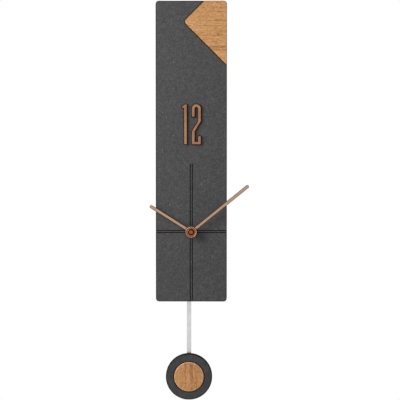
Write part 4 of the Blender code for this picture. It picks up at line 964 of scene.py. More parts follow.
def show_core_and_shade(board: bpy.types.Object, box: Sequence[Corner]) -> None:
    """Give the dark core, used also as painted shade, to the sides, eased edges and cuts of a coated
    board.

    Args:
        board: The dressed board.
        box: Its low and high corners; only its outer faces keep their coat.
    """
    board.data.materials.append(CORE_AND_SHADE.material())
    near = 0.00001
    for face in board.data.polygons:
        coated = face.center.y < box[0][1] + near or face.center.y > box[1][1] - near
        face.material_index = 0 if coated else 1


def dress_edges(piece: bpy.types.Object, finish: Finish) -> None:
    """Give a second finish to every face that looks neither straight ahead nor back.

    Args:
        piece: The dressed piece.
        finish: The surface of its edges.
    """
    piece.data.materials.append(finish.material())
    for face in piece.data.polygons:
        face.material_index = 0 if abs(face.normal.y) > 0.999 else 1


def install(piece: bpy.types.Object, finish: Finish, body: str, slot: str,
            *nodes: str) -> bpy.types.Object:
    """Dress a piece, put it on its body and let it stand for CAD nodes.

    Args:
        piece: The finished shape.
        finish: Its surface.
        body: The body that carries it.
        slot: Name of the record's material slot; not used.
        *nodes: The CAD nodes that it replaces.

    Returns:
        The same piece.
    """
    finish.dress(piece)
    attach(piece, body)
    if nodes:
        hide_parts(*nodes)
    LOG.info("built %s", piece.name)
    return piece


# ---------------------------------------------------------------- the board

@dataclass
class OakShape:
    """The corner piece's outline, with its two 45 degree sides."""

    fillet: float = 0.005
    corner: float = 0.005
    joint: float = 0.0008
    overrun: float = 0.010
    low: Vector = field(default_factory=lambda: Vector(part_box("oak_corner_inlay")[0]))
    high: Vector = field(default_factory=lambda: Vector(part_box("oak_corner_inlay")[1]))

    def point(self) -> Point:
        """Return the sharp inner corner before it is rounded."""
        x = self.low.x - self.fillet * (math.sqrt(2) - 1)
        return x, self.low.z + (self.high.x - x)

    def outline(self) -> list[Point]:
        """Return the rounded outline of the oak.

        Returns:
            The closed outline, as (x, z) points.
        """
        x, z = self.point()
        return rounded([(x + self.high.z - z, self.high.z, 0.0), (x, z, self.fillet),
                        (self.high.x, self.low.z, 0.0), (self.high.x, self.high.z, self.corner)],
                       8)

    def rebate(self) -> list[Point]:
        """Return the outline of the cut that receives it, open at the top and the side.

        Returns:
            The closed outline, as (x, z) points.
        """
        x, z = self.point()
        x -= self.joint * math.sqrt(2)
        over = self.overrun
        return rounded([(x + self.high.z - z + over, self.high.z + over, 0.0),
                        (x, z, self.fillet + self.joint),
                        (self.high.x + over, z - (self.high.x + over - x), 0.0),
                        (self.high.x + over, self.high.z + over, 0.0)], 8)


@dataclass
class Board:
    """Front board with its grooves, rebate and pocket, and the oak corner let into it."""

    corner: float = 0.005
    edge: float = 0.0011
    groove_width: float = 0.0010
    groove_mouth: float = 0.0015
    groove_pitch: float = 0.0031
    groove_depth: float = 0.0009
    groove_rise: float = 0.101
    pocket_depth: float = 0.0035
    pocket_room: float = 0.0010
    pocket_corner: float = 0.003
    back_edge: float = 0.0005
    bush_radius: float = 0.0042
    bush_room: float = 0.0003
    screw_radius: float = 0.0018
    screw_room: float = 0.0003
    oak_back_edge: float = 0.0004
    overrun: float = 0.004
    oak_edge: float = 0.0006
    oak: OakShape = field(default_factory=OakShape)

    def groove(self, start: Corner, end: Corner, surface: float) -> bmesh.types.BMesh:
        """Make a groove cutter with eased shoulders.

        Args:
            start: One end of its centre line.
            end: The other end.
            surface: y of the board's face.

        Returns:
            The cutter.
        """
        run = (Vector(end) - Vector(start)).normalized()
        side = run.cross(Vector((0.0, 1.0, 0.0)))
        narrow, wide = self.groove_width / 2, self.groove_mouth / 2
        over = 0.001
        section = [(-wide, surface - over), (wide, surface - over), (wide, surface),
                   (narrow, surface + (wide - narrow)), (narrow * 0.8, surface + self.groove_depth),
                   (-narrow * 0.8, surface + self.groove_depth),
                   (-narrow, surface + (wide - narrow)), (-wide, surface)]
        bm = bmesh.new()
        rings = []
        for end_point in (start, end):
            base = Vector((end_point[0], 0.0, end_point[2]))
            rings.append([bm.verts.new(base + side * across + Vector((0.0, y, 0.0)))
                          for across, y in section])
        count = len(section)
        for k in range(count):
            n = (k + 1) % count
            bm.faces.new((rings[0][k], rings[0][n], rings[1][n], rings[1][k]))
        for ring in rings:
            bm.faces.new(ring)
        return bm

    def build_board(self) -> bpy.types.Object:
        """Return the board, cut on its front and its back.

        Returns:
            The board, not yet dressed.
        """
        low, high = (Vector(corner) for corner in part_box("front_panel"))
        axis = centre_of("hand_cap")
        over = self.overrun
        board = finish_mesh("board", plate(
            rounded_box(low.x, low.z, high.x, high.z, self.corner, 8),
            low.y, high.y, self.edge, self.back_edge))
        tools = []
        for side in (-1.0, 1.0):
            shift = side * self.groove_pitch / 2
            tools.append(self.groove((axis.x + shift, 0.0, low.z - over),
                                     (axis.x + shift, 0.0, axis.z + self.groove_rise), low.y))
            tools.append(self.groove((low.x - over, 0.0, axis.z + shift),
                                     (high.x + over, 0.0, axis.z + shift), low.y))
        oak_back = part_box("oak_corner_inlay")[1][1]
        tools.append(plate(self.oak.rebate(), low.y - over, oak_back + self.screw_room, 0.0, 0.0,
                           facets=1))
        case_low, case_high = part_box("movement_case")
        room = self.pocket_room
        tools.append(plate(rounded_box(case_low[0] - room, case_low[2] - room, case_high[0] + room,
                                       case_high[2] + room, self.pocket_corner),
                           high.y - self.pocket_depth, high.y + over, 0.0, 0.0, facets=1))
        bush = self.bush_radius + self.bush_room
        tools.append(lathe([(0.0, low.y - over), (bush, low.y - over), (bush, high.y + over),
                            (0.0, high.y + over)], (axis.x, axis.z), 48))
        for number in range(1, 5):
            spot = centre_of(f"rail_screw_{number}")
            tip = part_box(f"rail_screw_{number}")[0][1]
            hole = self.screw_radius + self.screw_room
            tools.append(lathe([(0.0, tip - self.screw_room), (hole, tip - self.screw_room),
                                (hole, high.y + over), (0.0, high.y + over)],
                               (spot.x, spot.z), 20))
        for tool in tools:
            carve(board, [tool])
        return board

    def build_oak(self) -> bpy.types.Object:
        """Return the oak corner with its eased edges."""
        return finish_mesh("oak_corner", plate(self.oak.outline(), self.oak.low.y,
                                               self.oak.high.y, self.oak_edge,
                                               self.oak_back_edge))

    def install(self) -> None:
        """Build and dress both pieces."""
        board = self.build_board()
        install(board, BOARD, BODY_CASE, "anthracite", "front_panel")
        # Painted shade: grooves, pocket and eased front edges get the near-black core.
        show_core_and_shade(board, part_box("front_panel"))
        oak = self.build_oak()
        install(oak, OAK_CORNER, BODY_CASE, "oak", "oak_corner_inlay")
        # Painted shade on the oak corner's edges and sides.
        dress_edges(oak, OAK_EDGE_SHADE)


@dataclass
class Numerals:
    """Raised one and two, cut from copper-faced sheet; their wide bevels carry painted shade."""

    stroke: float = 0.0047
    spread: float = 0.0007
    bevel: float = 0.00118
    bevel_depth: float = 0.0018
    nick: float = 0.0006
    hook_drop: float = 0.019
    bend_drop: float = 0.0255
    bend_height: float = 0.0150
    base_height: float = 0.0040
    toe_height: float = 0.0125
    flag_drop: float = 0.0045
    one_shift: float = 0.0004
    back_edge: float = 0.0001
    bend_softness: float = 0.003

    def one(self, low: Vector, high: Vector) -> list[Point]:
        """Return the outline of the one, with its slanting flag.

        Args:
            low: Low corner of the CAD node's box.
            high: High corner of the CAD node's box.

        Returns:
            The closed outline, as (x, z) points.
        """
        left = high.x - self.stroke
        flag = left - low.x
        top = high.z
        shoulder = self.stroke / 3
        nick = self.nick
        return rounded([(left, low.z, nick), (high.x, low.z, nick), (high.x, top, shoulder),
                        (left + shoulder, top, shoulder),
                        (left - flag, top - self.flag_drop, nick),
                        (left - flag * 0.7, top - self.flag_drop - shoulder, nick),
                        (left, top - self.flag_drop - shoulder, 0.0)], 4)

    def two(self, low: Vector, high: Vector) -> list[Point]:
        """Return the outline of the two, with its round crown and square toe.

        Args:
            low: Low corner of the CAD node's box.
            high: High corner of the CAD node's box.

        Returns:
            The closed outline, as (x, z) points.
        """
        left, right, top, bottom = low.x, high.x, high.z, low.z
        outer = (right - left) / 2
        crown = (left + outer, top - outer)
        bend = top - self.bend_drop
        landing = bend - self.bend_height
        toe = bottom + self.toe_height
        hook = top - self.hook_drop
        inner_left, inner_right = left + self.stroke, right - self.stroke
        nick = self.nick
        soft = self.bend_softness
        lower = rounded([(right, crown[1], 0.0), (right, bend, soft), (inner_left, landing, soft),
                         (inner_left, bottom + self.base_height, 0.0),
                         (inner_right, bottom + self.base_height, 0.0), (inner_right, toe, nick),
                         (right, toe, nick), (right, bottom, nick), (left, bottom, nick),
                         (left, landing, soft), (inner_right, bend, soft),
                         (inner_right, crown[1], 0.0)], 4, closed=False)
        end = rounded([(inner_left, crown[1], 0.0), (inner_left, hook, nick), (left, hook, nick),
                       (left, crown[1], 0.0)], 4, closed=False)
        return (arc(crown, outer, 180.0, 0.0, 24)[1:-1] + lower
                + arc(crown, outer - self.stroke, 0.0, 180.0, 18)[1:-1] + end)

    def install(self) -> None:
        """Build and dress both numerals."""
        for name, node, shape, shift in (("raised_one", "numeral_one", self.one, self.one_shift),
                                         ("raised_two", "numeral_two", self.two, 0.0)):
            low, high = (Vector(corner) + Vector((shift, 0.0, 0.0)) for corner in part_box(node))
            foot = inset(shape(low, high), -self.spread)
            piece = finish_mesh(name, plate(foot, low.y, high.y, self.bevel, self.back_edge,
                                            front_drop=self.bevel_depth))
            install(piece, COPPER_FACE, BODY_CASE, "copper", node)
            # Painted shade on the numerals' bevels and sides.
            dress_edges(piece, PAINTED_EDGE_SHADE)


# ---------------------------------------------------------------- hands and hub

@dataclass
class Hands:
    """Hour and minute hand, the hub's nut and washer, and the turned cap."""

    width: float = 0.0049
    boss: float = 0.0050
    edge: float = 0.00070
    edge_drop: float = 0.0004
    minute_angle: float = math.radians(51.0)
    hour_angle: float = math.radians(-57.8)
    tip_room: float = 0.0004
    minute_reach: float = 0.110
    hour_reach: float = 0.073
    minute_bore: float = 0.0019
    hour_bore: float = 0.0029
    cap_nub: float = 0.0031
    cap_groove: float = 0.0046
    cap_rim: float = 0.0073
    cap_shoulder: float = 0.0082
    nut_bore: float = 0.0019
    bush_radius: float = 0.0042
    bush_bore: float = 0.0029
    flange_thickness: float = 0.0010
    thread_length: float = 0.006
    washer_bore: float = 0.0045
    washer_edge: float = 0.0002
    thread_pitch: float = 0.00075
    thread_depth: float = 0.00028

    def blade(self, reach: float, angle: float, centre: Point) -> list[Point]:
        """Return a hand's outline: a round boss and a parallel blade with a round end.

        Args:
            reach: Length from the axis to the tip.
            angle: Turn clockwise from upright, in radians.
            centre: The hands' axis, as (x, z).

        Returns:
            The closed outline, as (x, z) points.
        """
        half = self.width / 2
        join = math.degrees(math.asin(half / self.boss))
        points = arc((0.0, 0.0), self.boss, 90.0 + join, 450.0 - join, 48)
        points += arc((0.0, reach - half), half, 0.0, 180.0, 16)
        turn = Matrix.Rotation(-angle, 2)
        return [(centre[0] + spun.x, centre[1] + spun.y)
                for spun in (turn @ Vector(point) for point in points)]

    def hand(self, name: str, node: str, reach: float, angle: float,
             bore: float) -> bpy.types.Object:
        """Return one hand with softened edges.

        Args:
            name: The piece's name.
            node: The CAD node that gives its depth.
            reach: Length from the axis to the tip.
            angle: Turn clockwise from upright, in radians.
            bore: Radius of its hole.

        Returns:
            The piece, not yet dressed.
        """
        low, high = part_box(node)
        axis = centre_of("hand_cap")
        centre = (axis.x, axis.z)
        return finish_mesh(name, plate(self.blade(reach - self.tip_room, angle, centre), low[1],
                                       high[1],
                                       self.edge, self.edge_drop / 2,
                                       [circle(centre, bore, 40)], front_drop=self.edge_drop))

    def cap(self, centre: Point) -> bpy.types.Object:
        """Return the hub cap: bevelled rim, sunk face, ring and centre nub.

        Args:
            centre: The axis it is made round, as (x, z).

        Returns:
            The piece, not yet dressed.
        """
        low, high = (Vector(corner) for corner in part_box("hand_cap"))
        radius = (high.x - low.x) / 2
        front, back = low.y, high.y
        nut_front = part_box("hand_nut")[0][1]
        face = front + 0.0014
        profile = rounded([(0.0, front, 0.0), (0.0028, front, 0.0005),
                           (0.0033, face, 0.0002), (0.0036, face, 0.0002),
                           (0.0042, face - 0.0007, 0.0003), (0.0048, face - 0.0003, 0.0002),
                           (0.0069, face - 0.0003, 0.0003), (0.0074, face - 0.0009, 0.0003),
                           (0.0081, face - 0.0008, 0.0002), (radius, face + 0.0001, 0.0002),
                           (radius, back, 0.0004), (0.0031, back, 0.0002),
                           (0.0031, nut_front - 0.0006, 0.0), (0.0, nut_front - 0.0006, 0.0)],
                          4, closed=False)
        return finish_mesh("hub_cap", lathe(profile, centre, 96), 50.0)

    def dress_cap(self, cap: bpy.types.Object, centre: Point) -> None:
        """Paint shade into the groove round the nub and onto the outer chamfer, and paint a highlight on
        the rim.

        Args:
            cap: The dressed cap.
            centre: The hands' axis.
        """
        where = (centre[0], 0.0, centre[1])
        # Painted shade: a near-black copper in the groove round the nub.
        cap.data.materials.append(TurnedMetal("copper_groove_painted_shade", (0.085, 0.026, 0.012), 0.48,
                                              where).material())
        # Painted highlight: a pale copper on the rim, which is also a little glossier.
        cap.data.materials.append(TurnedMetal("copper_rim_painted_highlight", (0.620, 0.370, 0.265), 0.26,
                                              where).material())
        # Painted shade on the outer chamfer.
        cap.data.materials.append(PAINTED_EDGE_SHADE.material())
        for face in cap.data.polygons:
            reach = math.hypot(face.center.x - centre[0], face.center.z - centre[1])
            if self.cap_nub < reach < self.cap_groove:
                face.material_index = 1
            elif reach > self.cap_shoulder:
                face.material_index = 3
            elif reach > self.cap_rim:
                face.material_index = 2

    def bush(self, centre: Point) -> bpy.types.Object:
        """Return the bush, threaded where it stands in front of the board.

        Args:
            centre: The axis it is made round, as (x, z).

        Returns:
            The piece, not yet dressed.
        """
        low, high = (Vector(corner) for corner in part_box("threaded_bush"))
        board_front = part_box("front_panel")[0][1]
        radius, bore, flange = self.bush_radius, self.bush_bore, (high.x - low.x) / 2
        flange_front = high.y - self.flange_thickness
        profile: list[Point] = [(bore, low.y), (radius - 0.0006, low.y)]
        y = low.y + self.thread_pitch * 0.6
        while y < board_front + self.thread_length:
            profile.append((radius, y))
            profile.append((radius - self.thread_depth, y + self.thread_pitch / 2))
            y += self.thread_pitch
        profile += [(radius, y), (radius, flange_front), (flange - 0.0003, flange_front),
                    (flange, flange_front + 0.0003), (flange, high.y), (bore, high.y)]
        return finish_mesh("bush", lathe(profile, centre, 64), 25.0)

    def ring(self, name: str, node: str, bore: float, edge: float,
             centre: Point) -> bpy.types.Object:
        """Return a washer or round nut from its CAD box.

        Args:
            name: The piece's name.
            node: The CAD node that gives its size.
            bore: Radius of its hole.
            edge: Radius of its outer edges.
            centre: The axis it is made round, as (x, z).

        Returns:
            The piece, not yet dressed.
        """
        low, high = (Vector(corner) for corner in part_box(node))
        radius = (high.x - low.x) / 2
        profile = rounded([(bore, low.y, edge / 2), (radius, low.y, edge), (radius, high.y, edge),
                           (bore, high.y, edge / 2)], 3)
        return finish_mesh(name, lathe(profile, centre, 72))

    def hex_nut(self, centre: Point) -> bpy.types.Object:
        """Return the fixing nut with its turned chamfer.

        Args:
            centre: The axis it is made round, as (x, z).

        Returns:
            The piece, not yet dressed.
        """
        low, high = (Vector(corner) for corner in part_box("fixing_nut"))
        corner = (high.x - low.x) / 2
        nut = finish_mesh("hex_nut", plate(circle(centre, corner, 6), low.y, high.y, 0.0, 0.0,
                                           [circle(centre, self.washer_bore, 48)], 1))
        flat = corner * math.cos(math.pi / 6)
        over = 0.002
        envelope = lathe([(0.0, low.y - 0.00001), (flat * 0.96, low.y - 0.00001),
                          (corner + 0.0001, low.y + 0.0006), (corner + 0.0001, high.y + over),
                          (0.0, high.y + over)], centre, 64)
        carve(nut, [envelope], "INTERSECT")
        return nut

    def install(self) -> None:
        """Build and dress the hands and everything on their axis in front of the board."""
        axis = centre_of("hand_cap")
        centre = (axis.x, axis.z)
        turned_centre = (axis.x, 0.0, axis.z)
        rose_minute = BrushedMetal("rose_gold_minute", ROSE_GOLD_TONE, 0.36, Axis.Z,
                                   -self.minute_angle)
        rose_hour = BrushedMetal("rose_gold_hour", ROSE_GOLD_TONE, 0.36, Axis.Z, -self.hour_angle)
        copper = TurnedMetal("copper_turned", COPPER_TURNED_TONE, 0.34, turned_centre)
        brass = TurnedMetal("brass_turned", (0.600, 0.410, 0.150), 0.32, turned_centre)
        minute = self.hand("minute_pointer", "minute_hand", self.minute_reach,
                           self.minute_angle, self.minute_bore)
        install(minute, rose_minute, BODY_MINUTE, "rose_gold", "minute_hand")
        hour = self.hand("hour_pointer", "hour_hand", self.hour_reach, self.hour_angle,
                         self.hour_bore)
        install(hour, rose_hour, BODY_HOUR, "rose_gold", "hour_hand")
        for blade in (minute, hour):
            # Painted shade on the hands' eased edges and sides.
            dress_edges(blade, PAINTED_EDGE_SHADE)
        cap = self.cap(centre)
        install(cap, copper, BODY_MINUTE, "copper", "hand_cap")
        self.dress_cap(cap, centre)
        install(self.bush(centre), brass, BODY_CASE, "brass", "threaded_bush")
        install(self.ring("washer", "brass_washer", self.washer_bore, self.washer_edge, centre),
                brass, BODY_CASE, "brass", "brass_washer")
        install(self.hex_nut(centre), brass, BODY_CASE, "brass", "fixing_nut")
        install(self.ring("nut_under_cap", "hand_nut", self.nut_bore, self.washer_edge, centre),
                brass, BODY_MINUTE, "brass", "hand_nut")


# ---------------------------------------------------------------- rear frame

@dataclass
class RearFrame:
    """Rails behind the board, their screws, the pads and the keyhole hanger."""

    edge: float = 0.0009
    counterbore: float = 0.008
    head_radius: float = 0.0032
    shank_radius: float = 0.0018
    room: float = 0.0003
    slot_radius: float = 0.0023
    entry_radius: float = 0.0045
    slot_drop: float = 0.0055
    slot_length: float = 0.0095
    hanger_screw_radius: float = 0.0014

    def screw_spots(self) -> list[Vector]:
        """Return the middles of the four rail screws."""
        return [centre_of(f"rail_screw_{number}") for number in range(1, 5)]

    def rail(self, name: str, node: str, upright: bool) -> bpy.types.Object:
        """Return a rail with eased edges and its screw holes.

        Args:
            name: The piece's name.
            node: The CAD node that gives its size.
            upright: Whether it takes the board's screws.

        Returns:
            The piece, not yet dressed.
        """
        low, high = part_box(node)
        rail = finish_mesh(name, block(low, high, self.edge, 3))
        over = 0.002
        if upright:
            seat = high[1] - self.counterbore
            for spot in self.screw_spots():
                if low[0] < spot.x < high[0]:
                    hole = self.shank_radius + self.room
                    wide = self.head_radius + self.room
                    mouth = wide + 0.0004
                    carve(rail, [lathe([(0.0, low[1] - over), (hole, low[1] - over), (hole, seat),
                                        (wide, seat), (wide, high[1] - 0.0004), (mouth, high[1]),
                                        (mouth, high[1] + over), (0.0, high[1] + over)],
                                       (spot.x, spot.z), 40)])
        return rail

    def rail_screw(self, number: int) -> bpy.types.Object:
        """Return a round-headed screw with a cross slot.

        Args:
            number: Which of the four screws, from 1.

        Returns:
            The piece, not yet dressed.
        """
        low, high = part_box(f"rail_screw_{number}")
        spot = centre_of(f"rail_screw_{number}")
        centre = (spot.x, spot.z)
        head_front = high[1] - 0.0020
        radius = self.shank_radius
        profile: list[Point] = [(0.0, low[1]), (radius * 0.8, low[1] + 0.002)]
        y = low[1] + 0.002
        while y < head_front - 0.004:
            profile += [(radius, y + 0.0004), (radius * 0.74, y + 0.0009)]
            y += 0.0011
        profile += [(radius * 0.74, head_front - 0.0005), (radius, head_front)]
        profile += rounded([(radius, head_front, 0.0), (self.head_radius, head_front, 0.0002),
                            (self.head_radius, high[1] - 0.0006, 0.0006),
                            (self.head_radius * 0.7, high[1], 0.001), (0.0, high[1], 0.0)], 4,
                           closed=False)[1:]
        screw = finish_mesh(f"rail_screw_turned_{number}", lathe(profile, centre, 40))
        carve(screw, [cross_recess(centre, high[1], 0.0016, 0.0006, 0.0011)])
        return screw

    def hanger(self) -> bpy.types.Object:
        """Return the keyhole plate with its countersunk holes.

        Returns:
            The piece, not yet dressed.
        """
        low, high = (Vector(corner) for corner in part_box("hanger_plate"))
        slot_z = -self.slot_drop
        entry_z = slot_z - self.slot_length
        drop = math.sqrt(self.entry_radius ** 2 - self.slot_radius ** 2)
        lean = math.degrees(math.atan2(drop, self.slot_radius))
        keyhole = (arc((0.0, slot_z), self.slot_radius, 0.0, 180.0, 20)
                   + arc((0.0, entry_z), self.entry_radius, 180.0 - lean, 360.0 + lean, 40))
        outline = rounded_box(low.x, low.z, high.x, high.z, 0.003, 8)
        hanger = finish_mesh("hanger", plate(outline, low.y, high.y, 0.0002, 0.0002, [keyhole]))
        thick = high.y - low.y
        for side in ("left", "right"):
            spot = centre_of(f"hanger_screw_{side}")
            radius = self.hanger_screw_radius + self.room
            wide = radius + thick + self.room
            over = 0.001
            carve(hanger, [lathe([(0.0, low.y - over), (radius, low.y - over), (radius, low.y),
                                  (wide, high.y), (wide, high.y + over), (0.0, high.y + over)],
                                 (spot.x, spot.z), 40)])
        return hanger

    def hanger_screw(self, side: str) -> bpy.types.Object:
        """Return a countersunk screw with a cross slot.

        Args:
            side: Which of the pair: "left" or "right".

        Returns:
            The piece, not yet dressed.
        """
        low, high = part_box(f"hanger_screw_{side}")
        spot = centre_of(f"hanger_screw_{side}")
        centre = (spot.x, spot.z)
        radius = self.hanger_screw_radius
        head = (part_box(f"hanger_screw_{side}")[1][0] - low[0]) / 2
        head_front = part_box("hanger_plate")[0][1]
        profile: list[Point] = [(0.0, low[1]), (radius * 0.7, low[1] + 0.0015)]
        y = low[1] + 0.0015
        while y < head_front - 0.0012:
            profile += [(radius, y + 0.0003), (radius * 0.74, y + 0.0007)]
            y += 0.0009
        profile += [(radius, head_front), (head - 0.0001, high[1] - 0.0001), (head, high[1]),
                    (0.0, high[1])]
        screw = finish_mesh(f"hanger_screw_turned_{side}", lathe(profile, centre, 40), 25.0)
        carve(screw, [cross_recess(centre, high[1], 0.0013, 0.0005, 0.0009)])
        return screw

    def pad(self, side: str) -> bpy.types.Object:
        """Return a wall pad with a rounded rim.

        Args:
            side: Which of the pair: "left" or "right".

        Returns:
            The piece, not yet dressed.
        """
        low, high = (Vector(corner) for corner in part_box(f"wall_pad_{side}"))
        radius = (high.x - low.x) / 2
        middle = centre_of(f"wall_pad_{side}")
        profile = rounded([(0.0, low.y, 0.0), (radius, low.y, 0.0001), (radius, high.y, 0.0005),
                           (0.0, high.y, 0.0)], 4, closed=False)
        return finish_mesh(f"pad_{side}", lathe(profile, (middle.x, middle.z), 56))

    def top_rail(self) -> bpy.types.Object:
        """Return the cross rail with the pocket behind the keyhole.

        Returns:
            The piece, not yet dressed.
        """
        low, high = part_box("top_rail")
        rail = finish_mesh("rail_top", block(low, high, self.edge, 3))
        half = self.entry_radius + 0.002
        over = 0.002
        bottom = -self.slot_drop - self.slot_length - half
        carve(rail, [plate(rounded_box(-half, bottom, half, -0.0005, 0.003), high[1] - 0.012,
                           high[1] + over, 0.0, 0.0, facets=1)])
        for side in ("left", "right"):
            spot = centre_of(f"hanger_screw_{side}")
            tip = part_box(f"hanger_screw_{side}")[0][1] - self.room
            radius = self.hanger_screw_radius + self.room
            carve(rail, [lathe([(0.0, tip), (radius, tip), (radius, high[1] + over),
                                (0.0, high[1] + over)], (spot.x, spot.z), 24)])
        return rail

    def install(self) -> None:
        """Build and dress the frame and its hardware."""
        install(self.rail("rail_left", "left_rail", True), PINE_UPRIGHT, BODY_CASE, "frame_wood",
                "left_rail")
        install(self.rail("rail_right", "right_rail", True), PINE_UPRIGHT, BODY_CASE,
                "frame_wood", "right_rail")
        install(self.top_rail(), PINE_LEVEL, BODY_CASE, "frame_wood", "top_rail")
        install(self.hanger(), ZINC, BODY_CASE, "steel", "hanger_plate")
        for side in ("left", "right"):
            install(self.hanger_screw(side), ZINC, BODY_CASE, "steel", f"hanger_screw_{side}")
            install(self.pad(side), RUBBER, BODY_CASE, "rubber", f"wall_pad_{side}")
        for number in range(1, 5):
            install(self.rail_screw(number), ZINC, BODY_CASE, "steel", f"rail_screw_{number}")


# ---------------------------------------------------------------- movement

@dataclass
class Movement:
    """Case, cover, cell and knob, and the finishes of the wheel work inside."""

    wall: float = 0.0015
    corner: float = 0.003
    edge: float = 0.0006
    rib: float = 0.0008
    bay_room: float = 0.0003
    bush_room: float = 0.0045
    arm_swing: float = 0.0078
    arbor_hole: float = 0.0011
    panel_sink: float = 0.0004
    panel_margin: float = 0.0035
    rib_count: int = 7
    rib_pitch: float = 0.0052
    mark_arm: float = 0.0022
    mark_width: float = 0.0006
    mark_reach: float = 0.021
    nub_rise: float = 0.0012
    cell_nub: float = 0.0028
    knob_teeth: int = 24
    knurl: float = 0.0003

    def case(self) -> bpy.types.Object:
        """Return the case: an open tray with three rooms and a slot for the arm.

        Returns:
            The piece, not yet dressed.
        """
        low, high = (Vector(corner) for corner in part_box("movement_case"))
        case = finish_mesh("case_tray", plate(
            rounded_box(low.x, low.z, high.x, high.z, self.corner), low.y, high.y, self.edge,
            0.0002))
        floor = low.y + self.wall
        over = 0.002
        cell_low, cell_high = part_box("battery_cell")
        bay_low, bay_high = cell_low[2] - self.bay_room, cell_high[2] + self.bay_room
        inner = high.x - self.wall
        rooms = [(bay_high + self.wall * 0.8, high.z - self.wall), (bay_low, bay_high),
                 (low.z + self.wall, bay_low - self.wall)]
        tools = [plate(rounded_box(-inner, bottom, inner, top, 0.0008, 3), floor, high.y + over,
                       0.0003, 0.0, facets=2) for bottom, top in rooms]
        axis = centre_of("hand_cap")
        bush = self.bush_room
        tools.append(lathe([(0.0, low.y - over), (bush, low.y - over), (bush, floor + over),
                            (0.0, floor + over)], (axis.x, axis.z), 40))
        arm = centre_of("pendulum_arm")
        arm_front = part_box("pendulum_arm")[0][1]
        swing = self.arm_swing
        tools.append(block((arm.x - swing, arm_front - 0.0012, low.z - over),
                           (arm.x + swing, high.y + over, low.z + self.wall + over)))
        for tool in tools:
            carve(case, [tool])
        return case

    def cover(self) -> bpy.types.Object:
        """Return the rear cover with its battery window, raised frame and vent ribs.

        Returns:
            The piece, not yet dressed.
        """
        low, high = (Vector(corner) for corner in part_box("movement_cover"))
        cell_low, cell_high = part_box("battery_cell")
        half = high.x - self.wall
        room = self.bay_room
        window = rounded_box(-half, cell_low[2] - room, half, cell_high[2] + room, 0.001, 4)
        knob = centre_of("setting_knob")
        hole = circle((knob.x, knob.z), self.arbor_hole, 24)
        cover = finish_mesh("case_cover", plate(
            rounded_box(low.x, low.z, high.x, high.z, self.corner), low.y, high.y, 0.0002,
            0.0003, [window, hole]))
        tools = []
        sunk = self.panel_sink
        margin = self.panel_margin
        fields = [(low.z + margin, cell_low[2] - margin), (cell_high[2] + margin,
                                                           high.z - margin)]
        for bottom, top in fields:
            tools.append(plate(rounded_box(low.x + margin, bottom, high.x - margin, top, 0.0015),
                               high.y - sunk, high.y + 0.001, 0.0, 0.0, facets=1))
        for tool in tools:
            carve(cover, [tool])
        return cover

    def cover_ribs(self) -> list[bpy.types.Object]:
        """Return the raised ribs and the polarity marks on the cover.

        Returns:
            The ribs and marks, not yet dressed.
        """
        low, high = (Vector(corner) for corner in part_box("movement_cover"))
        cell_low, cell_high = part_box("battery_cell")
        face = high.y - self.panel_sink
        made = []
        count = self.rib_count
        bottom, top = low.z + 0.006, cell_low[2] - 0.006
        for number in range(count):
            x = (number - (count - 1) / 2) * self.rib_pitch
            bm = block((x - self.rib / 2, face - 0.0001, bottom),
                       (x + self.rib / 2, high.y, top), 0.00012, 2)
            made.append(finish_mesh(f"cover_rib_{number + 1}", bm))
        arm = self.mark_arm
        thick = self.mark_width
        z = cell_high[2] + 0.0016
        for name, x, upright in (("mark_minus", -self.mark_reach, False),
                                 ("mark_plus", self.mark_reach, True)):
            tools = [block((x - arm / 2, high.y - 0.0006, z - thick / 2),
                           (x + arm / 2, high.y, z + thick / 2))]
            mark = finish_mesh(name, tools[0])
            if upright:
                carve(mark, [block((x - thick / 2, high.y - 0.0006, z - arm / 2),
                                   (x + thick / 2, high.y, z + arm / 2))], "UNION")
            made.append(mark)
        return made

    def cell(self) -> bpy.types.Object:
        """Return the cell with its crimped ends and raised terminal.

        Returns:
            The piece, not yet dressed.
        """
        low, high = (Vector(corner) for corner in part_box("battery_cell"))
        radius = (high.z - low.z) / 2
        middle = (low + high) / 2
        nub = self.nub_rise
        shoulder = high.x - nub
        profile = rounded([(0.0, low.x + 0.0003, 0.0), (radius * 0.55, low.x + 0.0003, 0.0002),
                           (radius * 0.62, low.x, 0.0002), (radius * 0.9, low.x, 0.0004),
                           (radius, low.x + 0.0007, 0.0004), (radius, shoulder - 0.0006, 0.0004),
                           (radius * 0.93, shoulder, 0.0003), (radius * 0.84, shoulder - 0.0004, 0.0002),
                           (self.cell_nub + 0.0004, shoulder - 0.0002, 0.0002),
                           (self.cell_nub, shoulder, 0.0002), (self.cell_nub, high.x, 0.0004),
                           (0.0, high.x, 0.0)], 4, closed=False)
        bm = lathe(profile, (0.0, 0.0), 72)
        bmesh.ops.rotate(bm, verts=bm.verts, cent=(0.0, 0.0, 0.0),
                         matrix=Matrix.Rotation(-math.pi / 2, 3, "Z"))
        bmesh.ops.translate(bm, verts=bm.verts, vec=(0.0, middle.y, middle.z))
        return finish_mesh("cell", bm)

    def dress_cell(self, cell: bpy.types.Object) -> None:
        """Put the wrap on the cell's barrel and steel on its two ends.

        Args:
            cell: The undressed cell.
        """
        low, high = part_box("battery_cell")
        wrap = CellWrap("cell_wrap_print", high[0] - 0.013, high[0] - 0.0145)
        install(cell, wrap, BODY_CELL, "cell_wrap", "battery_cell")
        cell.data.materials.append(ZINC.material())
        for face in cell.data.polygons:
            x = face.center.x
            reach = math.hypot(face.center.y - (low[1] + high[1]) / 2,
                               face.center.z - (low[2] + high[2]) / 2)
            end = x < low[0] + 0.0006 or x > high[0] - 0.0018
            if end and reach < 0.0064:
                face.material_index = 1

